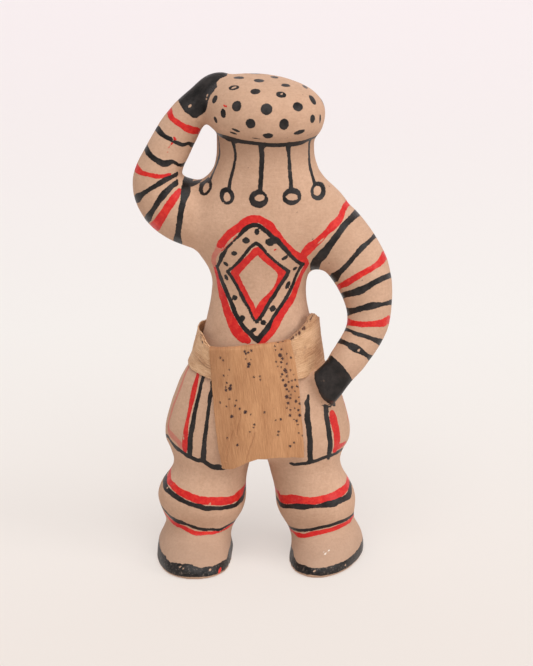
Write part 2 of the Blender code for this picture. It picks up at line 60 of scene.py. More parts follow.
# Strokes that go on round a limb: a point inside the limb, the way the stroke's plane looks, how far the
# limb's skin may be from that point, and points on the front with the width there (x, y, z, width). A last
# pair gives the degrees, counted from the front by the doll's left, between which the back is painted.
BLACK_RINGS = (
    ((-31.9, 4.6, 157.4), (0.41, 0.12, 0.9), 9, (
        (-37, 1.7, 160.8, 2.4), (-35.2, -1.3, 159.4, 1.8), (-32.7, -2.6, 158.3, 1.6), (-30.6, -2.8, 157.2, 1.5),
        (-28.4, -2.1, 156.1, 1.5), (-26.3, -0.6, 156.2, 1.2), (-25.1, 1.1, 155.3, 1.7)
    )),
    ((-35.2, 3.8, 150.7), (0.4, -0.11, 0.91), 10.5, (
        (-41.2, 0.8, 153.8, 2.4), (-39.8, -2.1, 152.3, 2.1), (-37.4, -3.7, 150.8, 2), (-34.5, -4, 149.7, 2.5),
        (-32.1, -3.3, 150.2, 1.7), (-29.9, -1.7, 148.8, 1.2), (-27.9, 2, 148.2, 1.8)
    )),
    ((-36.9, 3.7, 140), (-0.5, 0.22, 0.84), 14, (
        (-44.6, -1.5, 136.5, 3.2), (-41.5, -4.6, 139.6, 1.6), (-38.2, -5.4, 141.8, 1.7),
        (-35.3, -4.8, 143.5, 2.1), (-32.8, -3.6, 144.5, 1.8), (-30.4, -1.3, 145.4, 1.8)
    ), (140, 360)),
    ((-35, 4, 135.9), (-0.79, 0.13, 0.59), 15.5, (
        (-40.8, -2.3, 129.5, 2.8), (-39, -5.2, 133, 1.9), (-36.8, -6.2, 136.6, 2.2), (-34.6, -5.7, 139.4, 2.4),
        (-32.5, -4.3, 141.3, 1.9), (-30.6, -2.3, 142.5, 1.8), (-30.3, -1.6, 143.3, 0.7)
    ), (140, 360)),
    ((-28.4, 4.6, 130.9), (-0.98, 0.08, 0.17), 15.5, (
        (-30.4, -2, 121, 3.2), (-30, -6, 125.8, 2), (-29.4, -7.1, 129.8, 2.1), (-28.9, -6.9, 133.4, 2),
        (-28, -5.6, 136.8, 2.4), (-27.3, -3.3, 139.6, 3.6), (-27.2, -1.7, 140.9, 3.7)
    )),
    ((26, 4.3, 120), (-0.79, 0.16, 0.6), 15, (
        (33.9, 4, 130, 2.9), (31.6, -2.4, 129.5, 2.4), (29, -5.8, 127.8, 2.4), (26.9, -7.7, 125.4, 2.4),
        (24.9, -8.6, 122.8, 2.5), (22.9, -8.7, 119.9, 2.9), (20.9, -7.9, 117, 3.6), (19.1, -6, 114.4, 3.4),
        (18.5, -1.2, 110.4, 3.4)
    ), (0, 245)),
    ((32.2, 3.2, 113.2), (-0.7, 0.2, 0.68), 15.5, (
        (40, 1.7, 121.9, 1.7), (37.8, -3.3, 121.1, 1.6), (35.1, -6, 119.4, 2.1), (32.6, -7.4, 116.9, 1.8),
        (30.1, -7.5, 113.8, 1.7), (27.6, -6.2, 110.8, 2), (25.6, -3.2, 107.8, 3.6)
    )),
    ((36.9, 1.4, 103.5), (-0.38, 0.27, 0.89), 13.5, (
        (45.5, -1.1, 108, 2.1), (42.5, -5.7, 108, 2.1), (39.3, -7.6, 106.9, 2.1), (36.8, -8.1, 105.5, 2.3),
        (34.2, -7.7, 104, 3), (31.7, -6.6, 102.9, 2.4), (29.7, -4.6, 101.9, 2.2)
    )),
    ((38.2, -0.5, 95.8), (-0.22, 0.3, 0.93), 12, (
        (45.8, -3.3, 98.6, 2), (42.5, -7.1, 98.9, 1.6), (38.9, -8.2, 98.7, 2.6), (35.3, -8, 97.7, 2.2),
        (32.8, -6.7, 96.5, 2), (30.6, -3.4, 95.1, 2.9)
    )),
    ((35.9, -4.7, 86.2), (0.33, 0.28, 0.9), 10.5, (
        (42.1, -7.6, 85, 2.5), (39.4, -10.7, 87, 1.6), (36.3, -11.3, 88.4, 1.5), (33.8, -10.8, 88.9, 1.6),
        (31.3, -8.8, 89.5, 1.2), (29.5, -4.7, 88.9, 1.5)
    )),
    ((33, -7.2, 82.1), (0.48, 0.24, 0.85), 10, (
        (38.5, -10.1, 79.8, 2.2), (36.9, -12.5, 81.7, 1.6), (34.2, -13.5, 83.8, 2.6), (32.2, -13.2, 84.8, 2.9),
        (30.2, -12.1, 85.6, 1.7), (27.7, -9, 85.7, 2)
    )),
    ((0.8, 4.4, 158.5), (0.05, -0.01, 1), 21, (
        (-16.1, -0.3, 160, 1.2), (-15.1, -2.3, 159.8, 1.7), (-14, -4.1, 159.7, 2.2), (-11.8, -6.3, 159.4, 2.7),
        (-9, -8.1, 159.1, 2.4), (-6.1, -9.5, 158.8, 1.8), (-3.2, -10.3, 158.6, 2), (-0.7, -10.7, 158.4, 1.8),
        (1.8, -10.7, 158.1, 1.8), (5, -10.2, 157.8, 1.9), (8.5, -9.2, 157.8, 2), (12.1, -7.4, 157.8, 2.2),
        (15, -5.4, 158.1, 1.9), (16.8, -4, 158.6, 1.2)
    )),
    ((-22.4, 2.7, 27), (0.14, -0.16, 0.98), 21, (
        (-36.3, 0, 29.4, 2.5), (-35.9, -3.8, 28.3, 2.6), (-34, -7.6, 27.5, 1.8), (-31.6, -10.3, 26.7, 2),
        (-28.9, -12.2, 25.8, 1.7), (-26, -13.4, 24.9, 1.7), (-23.1, -13.8, 24.3, 1.9), (-20.8, -13.7, 23.5, 2),
        (-18.4, -13.4, 23.4, 1.7), (-15.6, -12.4, 23, 1.6), (-12.7, -10.6, 22.8, 1.6), (-9.8, -7.9, 22.6, 1.8),
        (-8.1, -5.3, 23.4, 2.3), (-7.1, -3, 23.9, 2.5), (-6.6, -1.2, 26.1, 1.5)
    )),
    ((-22.4, 2.8, 17.1), (0.18, -0.17, 0.97), 20, (
        (-35.8, -5.2, 18.9, 1.4), (-34.5, -6.4, 17.9, 1.7), (-32.6, -8.1, 17.1, 2.2), (-31.1, -9, 16.7, 2.3),
        (-29.6, -10.1, 16.6, 2.1), (-27.9, -10.8, 16.1, 1.1), (-25.5, -11.2, 15.4, 1.5),
        (-23.2, -11.4, 14.6, 1.2), (-20.9, -11.3, 14.3, 1.2), (-18.6, -10.8, 14.2, 1.2),
        (-16.2, -9.6, 13.6, 1.1), (-13.9, -8.2, 14, 1.2), (-11.9, -6.2, 14.3, 1.1), (-10.2, -2.9, 14.3, 1.5)
    )),
    ((19.3, 2.6, 23.6), (-0.14, 0.02, 0.99), 20, (
        (5.3, -2.4, 22.7, 1.4), (6, -4, 21.9, 2), (7.8, -7.2, 21.9, 1.8), (10.1, -9.8, 22.8, 1.7),
        (12.4, -11.4, 23.4, 2.3), (14.7, -12.5, 23.6, 2.3), (17, -13, 24, 1.6), (19.3, -13.3, 24.1, 1.3),
        (21.1, -13, 24.3, 1.6), (23.4, -12.5, 24.6, 2.3), (25.8, -11.5, 24.6, 2.6), (27.8, -9.9, 25, 2.3),
        (29.9, -7.8, 25.1, 2.1), (31.5, -5.4, 25.4, 2.7), (32.2, -2.8, 26.3, 2.6), (32.4, 0.7, 27.5, 1.5)
    )),
    ((20.1, 2.8, 13.2), (-0.17, 0.11, 0.98), 19, (
        (9, -2.2, 12, 1), (9.9, -4.4, 12.2, 1.2), (11.9, -7.6, 12.8, 1.2), (13.9, -9.3, 13.2, 1.2),
        (16.5, -10.6, 13.9, 1.2), (18.8, -11.2, 14.6, 1.2), (21.2, -11.5, 15.3, 1.4), (23.5, -11.2, 15.7, 1.4),
        (25.9, -10.4, 16.1, 1.5), (28.2, -9, 16.5, 1.5), (30, -7.4, 16.5, 1.4), (31.5, -5.1, 16.6, 1.3),
        (32.6, -3.2, 16.6, 1.2)
    )),
    ((-18.1, 3.9, 43.6), (0, 0.1, 1), 21.5, (
        (-34.9, -1, 46.8, 1.4), (-34, -2.4, 45.7, 1.4), (-32.1, -4.5, 44.2, 2), (-29.9, -7.4, 43.4, 1.6),
        (-28, -9.1, 42.5, 1.8), (-25.9, -10.4, 41.9, 1.9), (-23.8, -11.2, 41.2, 1.8), (-21.7, -11.9, 41.1, 1.9),
        (-19.9, -11.9, 39.9, 1.8), (-18.1, -11.7, 38.8, 2), (-16.3, -11.4, 38.6, 2.5),
        (-15.1, -10.9, 37.7, 0.9)
    )),
    ((14.7, 3.9, 42.6), (0, 0.06, 1), 21.5, (
        (10.1, -11.2, 40, 1.4), (11.1, -11.4, 39.7, 1.3), (12.8, -11.8, 39.9, 1.3), (14.5, -12, 40.2, 1.3),
        (16.1, -12, 40.3, 1.3), (17.4, -11.8, 40.7, 1.4), (19, -11.4, 41, 1.5), (20.5, -10.9, 41.4, 1.4),
        (21.6, -10.5, 41.7, 1.5), (23, -9.5, 41.9, 1.4), (24.5, -8.2, 41.8, 1.5), (25.8, -6.7, 41.8, 1.3),
        (27.3, -4.5, 41.9, 1.4), (28.7, -1.6, 41.8, 1.5), (29.3, 0.5, 41.4, 0.9)
    ), (0, 250)),
)
RED_RINGS = (
    ((-28.7, 5.3, 162.6), (0.59, 0.09, 0.8), 8.6, (
        (-33, 3.5, 167, 2.5), (-32.2, 0.4, 165.3, 2.1), (-29.1, -1.5, 163.3, 2), (-25.9, -1.1, 161.4, 2.7),
        (-23.4, 0.9, 160.4, 2.6), (-22.3, 4.5, 159.3, 0.9)
    )),
    ((-36.5, 3.6, 146.9), (0.01, -0.21, 0.98), 11.5, (
        (-44.7, 0.3, 146.7, 2.8), (-43, -2.5, 146.1, 2), (-39.6, -4.4, 145.6, 1.7), (-36.4, -4.8, 145.2, 1.6),
        (-32.8, -3.5, 145.5, 1.5)
    ), (140, 360)),
    ((-33, 4.2, 134.1), (-0.83, 0.02, 0.56), 15.5, (
        (-38.1, -2.9, 126.8, 4.1), (-36.2, -5.7, 130.2, 3.3), (-34.3, -6.7, 133.4, 3), (-32.8, -6.6, 135.6, 3),
        (-31.4, -5.9, 137.6, 2.8), (-29.9, -4.4, 139.5, 2), (-29.3, -3.5, 140.4, 1)
    ), (140, 360)),
    ((21.5, 4.8, 122.7), (-0.77, 0.17, 0.62), 16, (
        (30.5, 4.5, 133.6, 2.2), (28.8, -1.6, 132.8, 2.2), (27.2, -5.3, 130, 2.6), (24.8, -7.2, 127.9, 2.9),
        (22.8, -8.2, 126, 2.1), (20.3, -8.6, 123.5, 2.4), (17.8, -8.3, 121.1, 2.9), (15.7, -8.3, 119.3, 4.1),
        (14.5, -8.4, 117.7, 4.4)
    ), (0, 235)),
    ((35.4, 2.2, 108), (-0.6, 0.26, 0.76), 14.5, (
        (43.3, -0.5, 115, 3.6), (41.4, -4.6, 113.5, 2.5), (38.8, -6.8, 112.2, 2.2), (35.7, -7.8, 110.7, 2.3),
        (32.6, -7.7, 108.8, 2.2), (30.2, -6.5, 106.8, 2.4), (27.7, -3.6, 104.8, 2)
    )),
    ((37.7, -2.4, 90.7), (-0.04, 0.33, 0.94), 11, (
        (45, -5.2, 92.6, 3), (43.1, -7.7, 92.2, 3.1), (39.9, -9.4, 92.4, 2.1), (36.3, -9.7, 92.2, 2.2),
        (32.8, -8.1, 92.1, 2.1), (30.4, -3.7, 91.3, 2.6)
    )),
    ((-22, 2.8, 30.1), (0.17, -0.21, 0.96), 21, (
        (-34.2, 2, 32.2, 1.5), (-34.7, 0, 31.2, 2.5), (-34.5, -2.9, 30.4, 2.3), (-32.8, -6.8, 29.7, 2.3),
        (-30.4, -10, 28.7, 2.5), (-28.3, -11.5, 28.1, 2.8), (-25.7, -12.7, 27.3, 2.9), (-23.1, -13.4, 26.6, 3),
        (-20.8, -13.4, 26.3, 2.9), (-17.9, -12.9, 26, 3), (-15, -11.9, 25.6, 3.1), (-12.1, -10, 25.2, 3),
        (-9.8, -7.7, 25.4, 3.3), (-8.1, -5, 25.8, 3.5), (-7.4, -3.2, 26.5, 2.5)
    )),
    ((-22.5, 2.8, 15.5), (0.12, -0.17, 0.98), 20, (
        (-35.3, -4.2, 16.8, 1.5), (-33.6, -6, 15.7, 1.9), (-31.8, -7.9, 15, 1.7), (-29.7, -9.4, 14.7, 1.6),
        (-27.6, -10.5, 14, 1.7), (-25.5, -11.1, 13.1, 1.7), (-23.2, -11.5, 12.8, 1.6),
        (-20.9, -11.3, 12.9, 1.3), (-18.6, -10.8, 12.8, 1.3), (-16.8, -10.1, 12.9, 1), (-15.1, -9, 12.9, 0.6),
        (-13.3, -7.5, 13.1, 1.1), (-11.9, -5.9, 13.4, 1.4), (-11.1, -4.3, 13.6, 1.3)
    )),
    ((18.5, 2.8, 27.3), (-0.14, -0.07, 0.99), 20, (
        (5.7, -4, 26, 1.5), (6.2, -4.8, 24.6, 2.8), (7.8, -7.4, 24.6, 3.3), (10.1, -9.8, 25.6, 3.5),
        (12.4, -11.3, 26, 3.4), (15.3, -12.5, 26.1, 2.7), (18.2, -12.9, 26.1, 2.8), (20.5, -12.7, 26.4, 2.9),
        (22.8, -12, 26.7, 2.7), (25.2, -10.8, 27, 2.9), (27.6, -8.9, 27.4, 3.1), (29.7, -6.1, 27.9, 3),
        (31.1, -2.6, 28.4, 2.4), (31.5, 0.7, 29.1, 2), (31.2, 4.2, 29.6, 1)
    )),
    ((20.5, 2.8, 11.7), (-0.18, 0.09, 0.98), 19, (
        (10.2, -4.9, 11.1, 1), (11.6, -7.3, 11.1, 1.3), (13.3, -9.1, 11.2, 1.7), (15.4, -10.6, 11.6, 1.5),
        (17.4, -11.1, 12.3, 1.8), (19.7, -11.2, 13, 1.8), (22.1, -11.3, 13.5, 1.7), (24.1, -10.7, 13.9, 1.7),
        (26.5, -9.8, 14.3, 1.9), (28.6, -8.4, 14.7, 1.7), (30.6, -6.2, 15, 1.6), (32.1, -3.7, 15.1, 1.7),
        (32.7, -2.2, 15.5, 1.2)
    )),
)

# Strokes on the front (x, y, z, width); a point given twice is a sharp corner.
BLACK_STROKES = (
    ((-15.7, 0.6, 158.6, 1.2), (-15.5, -0.4, 155.3, 1.2), (-15.4, -0.7, 152.5, 1.5), (-16, 0.3, 149.7, 1.7),
     (-16.9, 0.9, 146.9, 1.7), (-17.8, 0.4, 144.8, 1.7), (-18.5, -1, 143.3, 1.7)),
    ((-10.6, -6.7, 158.6, 1.6), (-9.9, -7, 155.7, 1.2), (-9.6, -7.1, 153.2, 1.1), (-10.1, -7, 149.9, 1.1),
     (-10.8, -6.9, 146.9, 1.3), (-11.5, -7.5, 144.1, 1.3), (-11.8, -8.3, 142.1, 1.4)),
    ((-0.7, -10.6, 158.2, 2.1), (-0.4, -10.1, 155.3, 1.9), (-0.3, -10.1, 152.4, 1.8),
     (-0.5, -10.2, 149.1, 1.7), (-0.6, -10.5, 146.3, 1.7), (-0.8, -10.8, 143.8, 1.6),
     (-0.9, -11.1, 141.7, 1.6)),
    ((9, -9, 157.8, 2.4), (9.1, -8.3, 154.2, 1.4), (9.3, -8.3, 150.9, 1.4), (9.5, -8.7, 147.7, 1.5),
     (9.8, -9.1, 144.5, 1.5), (10, -9.7, 142, 1.6)),
    ((16.8, -3, 157.9, 1.4), (16.3, -2.1, 154.6, 1.2), (16.3, -2.4, 151.4, 1.5), (16.7, -3, 148.2, 1.7),
     (17.4, -3.4, 145.3, 1.6), (18.3, -4.4, 142.8, 1.9)),
    ((-3, -12.5, 129.6, 1.5), (-4.6, -12.4, 129.1, 1.8), (-6.3, -12.3, 127.9, 1.8), (-7.7, -12.2, 126.3, 1.5),
     (-9.2, -11.9, 124.6, 0.9), (-10.9, -11.4, 122.8, 0.9), (-12.5, -10.8, 120.9, 1),
     (-13.8, -9.8, 118.6, 1.7), (-14.7, -9, 117, 2), (-15.2, -8, 115.1, 1.3), (-16.3, -6, 112.5, 1.1),
     (-16.3, -6, 112.5, 1.5), (-15.8, -5.6, 111, 1.7), (-14.8, -5.2, 107.8, 2.2), (-13.8, -5.7, 105.2, 2.1),
     (-12.7, -6.5, 102.7, 2), (-11.5, -7.4, 100.2, 1.7), (-10.7, -8.1, 98.3, 2), (-10, -8.6, 96.4, 1.9),
     (-9, -9.3, 94.5, 1.7), (-7.7, -10.2, 92.4, 1.7), (-6.2, -10.7, 90.6, 1.8), (-4.7, -11.3, 89.3, 1.7),
     (-3.1, -11.6, 87.8, 1.8), (-1.8, -11.8, 86.7, 1.6), (-1.8, -11.8, 86.7, 1.6), (-0.8, -11.6, 88.3, 1.8),
     (0.6, -11.2, 89.9, 1.9), (1.9, -10.8, 91.5, 2), (2.9, -10.4, 93.5, 1.4), (4.2, -9.8, 95.7, 1.5),
     (5.5, -9.1, 97.6, 1.4), (6.8, -8.4, 99.4, 1.4), (8.3, -7.5, 101.6, 1.6), (9.5, -6.9, 103.8, 1.6),
     (10.6, -6.4, 106.1, 1.6), (11.6, -6.6, 108.8, 1.5), (12.4, -6.6, 110.9, 1.4), (14.1, -6.8, 113.7, 2.2),
     (14.1, -6.8, 113.7, 1.6), (13, -7.9, 114.5, 1.5), (11.4, -9.4, 116.1, 1.4), (9.7, -10.6, 118.1, 1.4),
     (8.1, -11.6, 120.3, 1.7), (6.4, -12.2, 122.3, 1.8), (4.8, -12.6, 124.1, 2.1), (3.5, -12.7, 125.1, 1.8),
     (1.9, -12.8, 126.8, 1.7), (0.2, -12.7, 128.1, 1.7), (-1.4, -12.6, 129.3, 1.6), (-3, -12.5, 129.6, 1.5)),
    ((-2.4, -12.8, 123, 1.4), (-3.7, -12.6, 122.1, 1.3), (-5, -12.4, 120.7, 1.3), (-6.3, -11.9, 118.8, 1.2),
     (-7.6, -11.4, 117, 1.2), (-8.9, -10.8, 115.3, 1.2), (-10.3, -10, 113.7, 1.1), (-12.5, -8.2, 111.4, 1.2),
     (-12.5, -8.2, 111.4, 1.6), (-11.3, -8.3, 109.7, 1.5), (-10, -8.6, 107.4, 1.5), (-8.7, -8.8, 105, 1.3),
     (-7.4, -9.1, 102.4, 1.5), (-6.2, -9.6, 100.1, 1.3), (-5, -10, 98.2, 1.2), (-4.1, -10.4, 96.2, 1.1),
     (-3.1, -10.6, 94.2, 1.1), (-2.2, -10.8, 93.2, 1.1), (-2.2, -10.8, 93.2, 1.1), (-1.1, -10.7, 94.8, 1.3),
     (-0.1, -10.4, 96.2, 1.4), (1.2, -10, 98.5, 1.4), (2.5, -9.7, 100.8, 1.5), (4.2, -9.4, 103.1, 1.5),
     (5.5, -9.1, 105.5, 1.5), (6.8, -9, 107.5, 1.6), (8.1, -8.8, 109.5, 1.7), (9.2, -9, 111.7, 1.6),
     (9.2, -9, 111.7, 1.4), (7.8, -9.9, 112.9, 1.3), (6.5, -10.6, 114.1, 1.2), (4.8, -11.3, 115.6, 1.1),
     (3.2, -11.9, 117.3, 1.2), (1.5, -12.3, 118.9, 1.1), (0.2, -12.7, 120.7, 1.3), (-1.1, -12.8, 122.1, 1.5),
     (-2.4, -12.8, 123, 1.5)),
    ((-21.9, -7.2, 73.5, 0.8), (-21.5, -8.1, 72.5, 1.4), (-22.3, -8.9, 69.6, 1.5), (-23, -9.5, 66, 1.6),
     (-24, -10, 62, 1.8), (-24.9, -10.2, 58, 2), (-25.3, -10.5, 54.9, 2.2), (-26, -10.4, 51.8, 2.2),
     (-26.3, -10.3, 49.2, 2.2), (-26.5, -10.5, 46.1, 2.3), (-26.6, -10.2, 43.1, 2.2)),
    ((-18.7, -10.8, 71.1, 0.8), (-18.6, -11.2, 70.1, 1), (-18.3, -11.8, 68.3, 1.6), (-19, -12, 65.9, 1.7),
     (-19.4, -12.5, 62.3, 1.4), (-20, -12.8, 57.9, 1.4), (-20.5, -13, 53.9, 1.6), (-21, -12.8, 50.1, 1.7),
     (-21.3, -12.6, 46.2, 1.8), (-21.6, -12.1, 42.2, 2.2)),
    ((16.3, -11.4, 66.2, 1), (16.3, -11.7, 64.9, 1.3), (15.9, -12.2, 63.5, 1.9), (16.2, -12.3, 61.8, 2),
     (16.1, -12.6, 60.1, 2), (16, -12.9, 58.1, 2.5), (16.3, -13, 56.1, 2.2), (16.6, -13, 54, 2.2),
     (16.7, -13.1, 52, 2.1), (17, -12.8, 49.8, 2.2), (17, -12.7, 46.8, 2.2), (17, -12.6, 44.1, 2.1),
     (17.2, -12, 41.3, 2.1)),
    ((22.5, -9, 60.9, 1.5), (22.8, -8.7, 59.5, 2.2), (22.8, -9, 57.8, 2.2), (23.2, -9.1, 56.1, 2.3),
     (23.6, -9.1, 53.9, 2.2), (23.9, -9.1, 51.7, 2.3), (24.1, -9, 49.5, 2.2), (24.4, -8.8, 47.2, 2.4),
     (24.4, -8.9, 45.1, 2.7), (24.2, -8.8, 42.8, 2.7), (24.1, -8.5, 41.6, 2.7)),
    ((21.2, -9.6, 61.8, 0.6), (22.4, -9, 61.8, 0.8), (23.7, -8.1, 60.8, 0.8), (24.7, -7.4, 60.6, 1)),
    ((20.7, -10.4, 63.7, 0.4), (21.3, -9.9, 62.9, 0.6)),
    ((24.7, -8.3, 62.8, 2.2), (25.5, -6.4, 61.2, 1.7), (26.1, -5.4, 60.3, 0.9)),
    ((-25.7, -0.2, 141.1, 1.8), (-23.8, 2.4, 141.3, 2.7), (-22.4, 4.1, 141.6, 1.9)),
    ((-10.5, -11.5, 163.8, 0.7), (-9.3, -11.9, 163.4, 1.2), (-8.1, -12.2, 162.9, 0.8)),
    ((-11.3, -10.1, 162.3, 0.8), (-10.2, -10.6, 162.1, 1.2), (-9.1, -10.9, 161.8, 0.7)),
    ((11.2, -11.4, 162.1, 1.1), (12.7, -10.7, 162.4, 1.7), (14.3, -9.8, 162.7, 1.2)),
    ((-4.3, -12, 160.8, 0.3), (-2.5, -12.3, 160.7, 0.5), (-0.9, -12.5, 160.5, 0.3)),
    ((6.2, -12.2, 160.5, 0.3), (7.5, -11.9, 160.5, 0.4), (8.8, -11.5, 160.5, 0.3)),
    ((15.5, -7.6, 160.6, 0.3), (16.8, -6.5, 160.7, 0.3), (17.8, -5.5, 161.1, 0.3)),
)
RED_STROKES = (
    ((-1.4, -12.3, 131.7, 2.7), (-3.7, -12.2, 131.5, 3.1), (-5.6, -12.1, 130.7, 3.2), (-8.2, -12, 128.6, 3.3),
     (-10.8, -11.5, 126.5, 3.5), (-13.3, -10.7, 123.4, 3.8), (-15, -9.8, 121.2, 3.3)),
    ((-16.9, -4.7, 111.4, 1.9), (-16.4, -3.8, 108.4, 1.9), (-15.8, -3.7, 105.3, 2.5),
     (-14.7, -4.7, 102.1, 3.3), (-13.7, -6.1, 99.1, 3.1), (-12.8, -7.1, 96.3, 3.4), (-11.5, -8.4, 93.6, 3.6),
     (-10, -9.6, 90.8, 4.3), (-8.4, -10.6, 88.7, 4.2), (-6.7, -11.2, 87.5, 3.6), (-5.2, -11.6, 86.6, 2.2)),
    ((-1.4, -12.3, 131.7, 2.7), (0.2, -12.5, 130.8, 2.6), (2.2, -12.6, 129.5, 2.9), (3.8, -12.6, 127.5, 2.7),
     (5.8, -12.5, 125.1, 2.5), (7.4, -12.1, 122.9, 2.2), (9.1, -11.5, 121.1, 2.2), (10.7, -10.5, 119.1, 2.3),
     (12.4, -9.4, 117.7, 2.4), (14, -8, 116.1, 2.8), (15.4, -6.3, 114.6, 2)),
    ((15.4, -5.5, 113.4, 2.2), (14.7, -4.9, 111.5, 2.7), (13.8, -4.7, 109.5, 2.5), (12.8, -4.7, 106.9, 3.1),
     (11.8, -5.1, 104.3, 3), (10.8, -5.8, 101.8, 3.1), (9.5, -6.9, 99.7, 3.1), (7.8, -8, 97.9, 3.1),
     (6.5, -9, 95.8, 3.1), (5.2, -9.7, 93.6, 3.1), (3.9, -10.5, 91.1, 2.8), (2.2, -11.2, 88.9, 2.6),
     (0.6, -11.6, 87.3, 2.5), (-0.6, -11.9, 86, 1.8)),
    ((18.2, -8.5, 122.3, 1.8), (16.3, -8.6, 120.6, 3.1), (15, -8.4, 118.6, 3.5), (14.2, -8.1, 116.6, 3.5)),
    ((-1.6, -12.6, 120.5, 2.4), (-1.6, -12.6, 120.5, 2.5), (-0.3, -12.4, 118.8, 2.6), (1.7, -12, 116.6, 2.5),
     (3.6, -11.4, 114.8, 2.5), (5.3, -10.7, 113.2, 2.6), (6.9, -9.7, 111.2, 3), (6.9, -9.7, 111.2, 3.2),
     (6.3, -9.4, 109, 2.6), (5.1, -9.3, 106.5, 2), (3.8, -9.5, 104.9, 1.5), (2.5, -9.7, 102.9, 2.2),
     (0.9, -10, 101.3, 2.4), (-0.4, -10.2, 99.6, 2.5), (-1.3, -10.3, 97.6, 2.8), (-2.1, -10.5, 95.2, 2.3),
     (-2.1, -10.5, 95.2, 2.3), (-3.3, -10.3, 97.2, 2.4), (-4.3, -10, 99.5, 2.5), (-5.6, -9.6, 101.8, 2.5),
     (-6.9, -9.3, 104.2, 2.5), (-8.2, -9.1, 106.5, 2.6), (-9.1, -9.1, 108.9, 2.7), (-10.1, -9.3, 111, 3),
     (-10.1, -9.3, 111, 2.9), (-8.8, -10.2, 112.7, 2.9), (-7.1, -11.2, 114.7, 2.7), (-5.5, -11.7, 116.5, 2.7),
     (-3.8, -12.2, 118.4, 2.6), (-2.5, -12.5, 120.1, 2.5), (-1.6, -12.6, 120.5, 2.4)),
    ((-9, -12, 126, 0.5), (-10.4, -11.7, 124.2, 0.6), (-11.9, -11.2, 122.5, 0.6), (-13.3, -10.4, 120.8, 0.6),
     (-14.7, -9.5, 119.2, 0.5)),
    ((-23.2, -5.2, 74.2, 1.4), (-23.5, -6.2, 72.4, 1.7), (-24.1, -7.1, 69.9, 2.1), (-25, -7.8, 66.4, 2.3),
     (-25.6, -8.3, 63.4, 2.1), (-26.6, -8.8, 59.1, 1.6), (-27.2, -8.9, 56, 1.6), (-27.8, -9, 53.1, 1.8),
     (-28, -9, 50.9, 2.2), (-28.3, -9, 48, 2.6), (-28.4, -9, 45.5, 2.6), (-28.4, -9.1, 43.8, 1.7)),
    ((24.8, -7.2, 58.3, 1.6), (25.3, -7.2, 56.8, 3.4), (25.7, -7.1, 55, 3.6), (26.2, -7, 52.8, 3.5),
     (26.7, -6.8, 50.5, 3.3), (26.9, -6.5, 48.2, 3.2), (27, -6.2, 46.3, 3.2), (26.8, -6.2, 44.5, 3.6),
     (26.2, -6.6, 43.4, 2.5)),
    ((27.4, -5.2, 44.3, 2.3), (29.1, -2.8, 44, 2.4), (30.2, -1.1, 44.2, 1.9)),
    ((-13.7, -9.9, 172.1, 0.4), (-13.1, -10.4, 171.7, 0.6), (-12.5, -10.9, 171.3, 0.4)),
)
# Red that lies on the black.
RED_OVER_BLACK = (
    ((-15.2, -19.5, 2.6, 0.8), (-15.5, -20.2, 1.9, 1.3), (-16, -21.1, 0.9, 0.7)),
    ((-31.3, -2.6, 158.9, 0.9), (-30.9, -2.6, 158.2, 1.2)),
)
THIN_RED_STROKES = (
    ((-25.7, 1.9, 75.1, 1.5), (-27.5, 0.8, 72.1, 1.5), (-29.3, -1, 67.6, 1.5), (-30.8, -1.2, 63.5, 1.5),
     (-32.4, -0.9, 59.6, 1.5), (-33.8, -0.9, 55.1, 1.5), (-34.7, -1, 51.3, 1.5), (-34.6, -1.7, 49.4, 2),
     (-33.3, -3.9, 48.2, 2.5), (-31.1, -6.3, 46.8, 2.3), (-29.6, -8, 45.5, 2.9)),
    ((29.1, 4.3, 60.7, 1.5), (29.9, 3.3, 58.6, 1.5), (30.5, 3.5, 56.5, 1.5), (31, 3.1, 54.2, 1.5),
     (31.1, 1.2, 52.6, 1.5)),
    ((-15, -9.8, 121.2, 3.2), (-16.2, -8.7, 119, 2.1), (-17.4, -7.2, 116.5, 1.9), (-17.5, -5.9, 114.1, 2.3),
     (-16.9, -4.7, 111.4, 1.9)),
)

# Rings at the ends of the five neck lines, seen from the front: x, z, half width, half height and lean in degrees
# of the ring, then the same for its bare middle.
BLACK_HOOPS = (
    (-20.3, 140.9, 2.0, 3.0, 35.0, -20.1, 140.7, 0.85, 1.6, 35.0),
    (-12.6, 139.2, 2.65, 2.95, 0.0, -12.6, 138.8, 1.2, 1.6, -5.0),
    (-1.5, 138.7, 3.4, 3.2, 0.0, -1.1, 139.1, 1.75, 1.15, -10.0),
    (10.2, 139.3, 3.4, 3.0, 0.0, 10.3, 139.1, 2.15, 1.15, 8.0),
    (19.5, 140.0, 2.65, 3.0, -30.0, 19.2, 140.2, 1.35, 1.5, -15.0),
)

# Dots in the lozenge's border: x, y, z, half the length, half the width and lean in degrees.
BORDER_DOTS = (
    (-2.1, -12.7, 127.1, 1.2, 1.0, 90.0), (-5.9, -12.5, 123.9, 1.4, 1.2, 0.0), (2.4, -12.8, 123.3, 1.8, 1.3, -25.0),
    (-10.2, -11.1, 118.8, 1.2, 0.95, 0.0), (7.7, -11.0, 117.1, 1.3, 0.8, 30.0),
    (-13.1, -8.9, 114.3, 1.2, 0.75, -40.0), (11.4, -8.1, 112.5, 1.0, 0.75, 40.0),
    (-13.1, -7.1, 108.9, 1.25, 0.85, -75.0), (8.8, -7.7, 106.3, 1.6, 0.9, 70.0),
    (-10.0, -8.1, 101.7, 1.1, 1.0, 0.0), (3.5, -9.7, 98.1, 1.3, 1.05, 70.0), (-7.4, -9.9, 94.6, 1.15, 1.1, 0.0),
    (0.1, -10.8, 93.2, 1.1, 1.0, 0.0), (-3.3, -11.1, 90.6, 1.3, 0.8, 30.0),
)

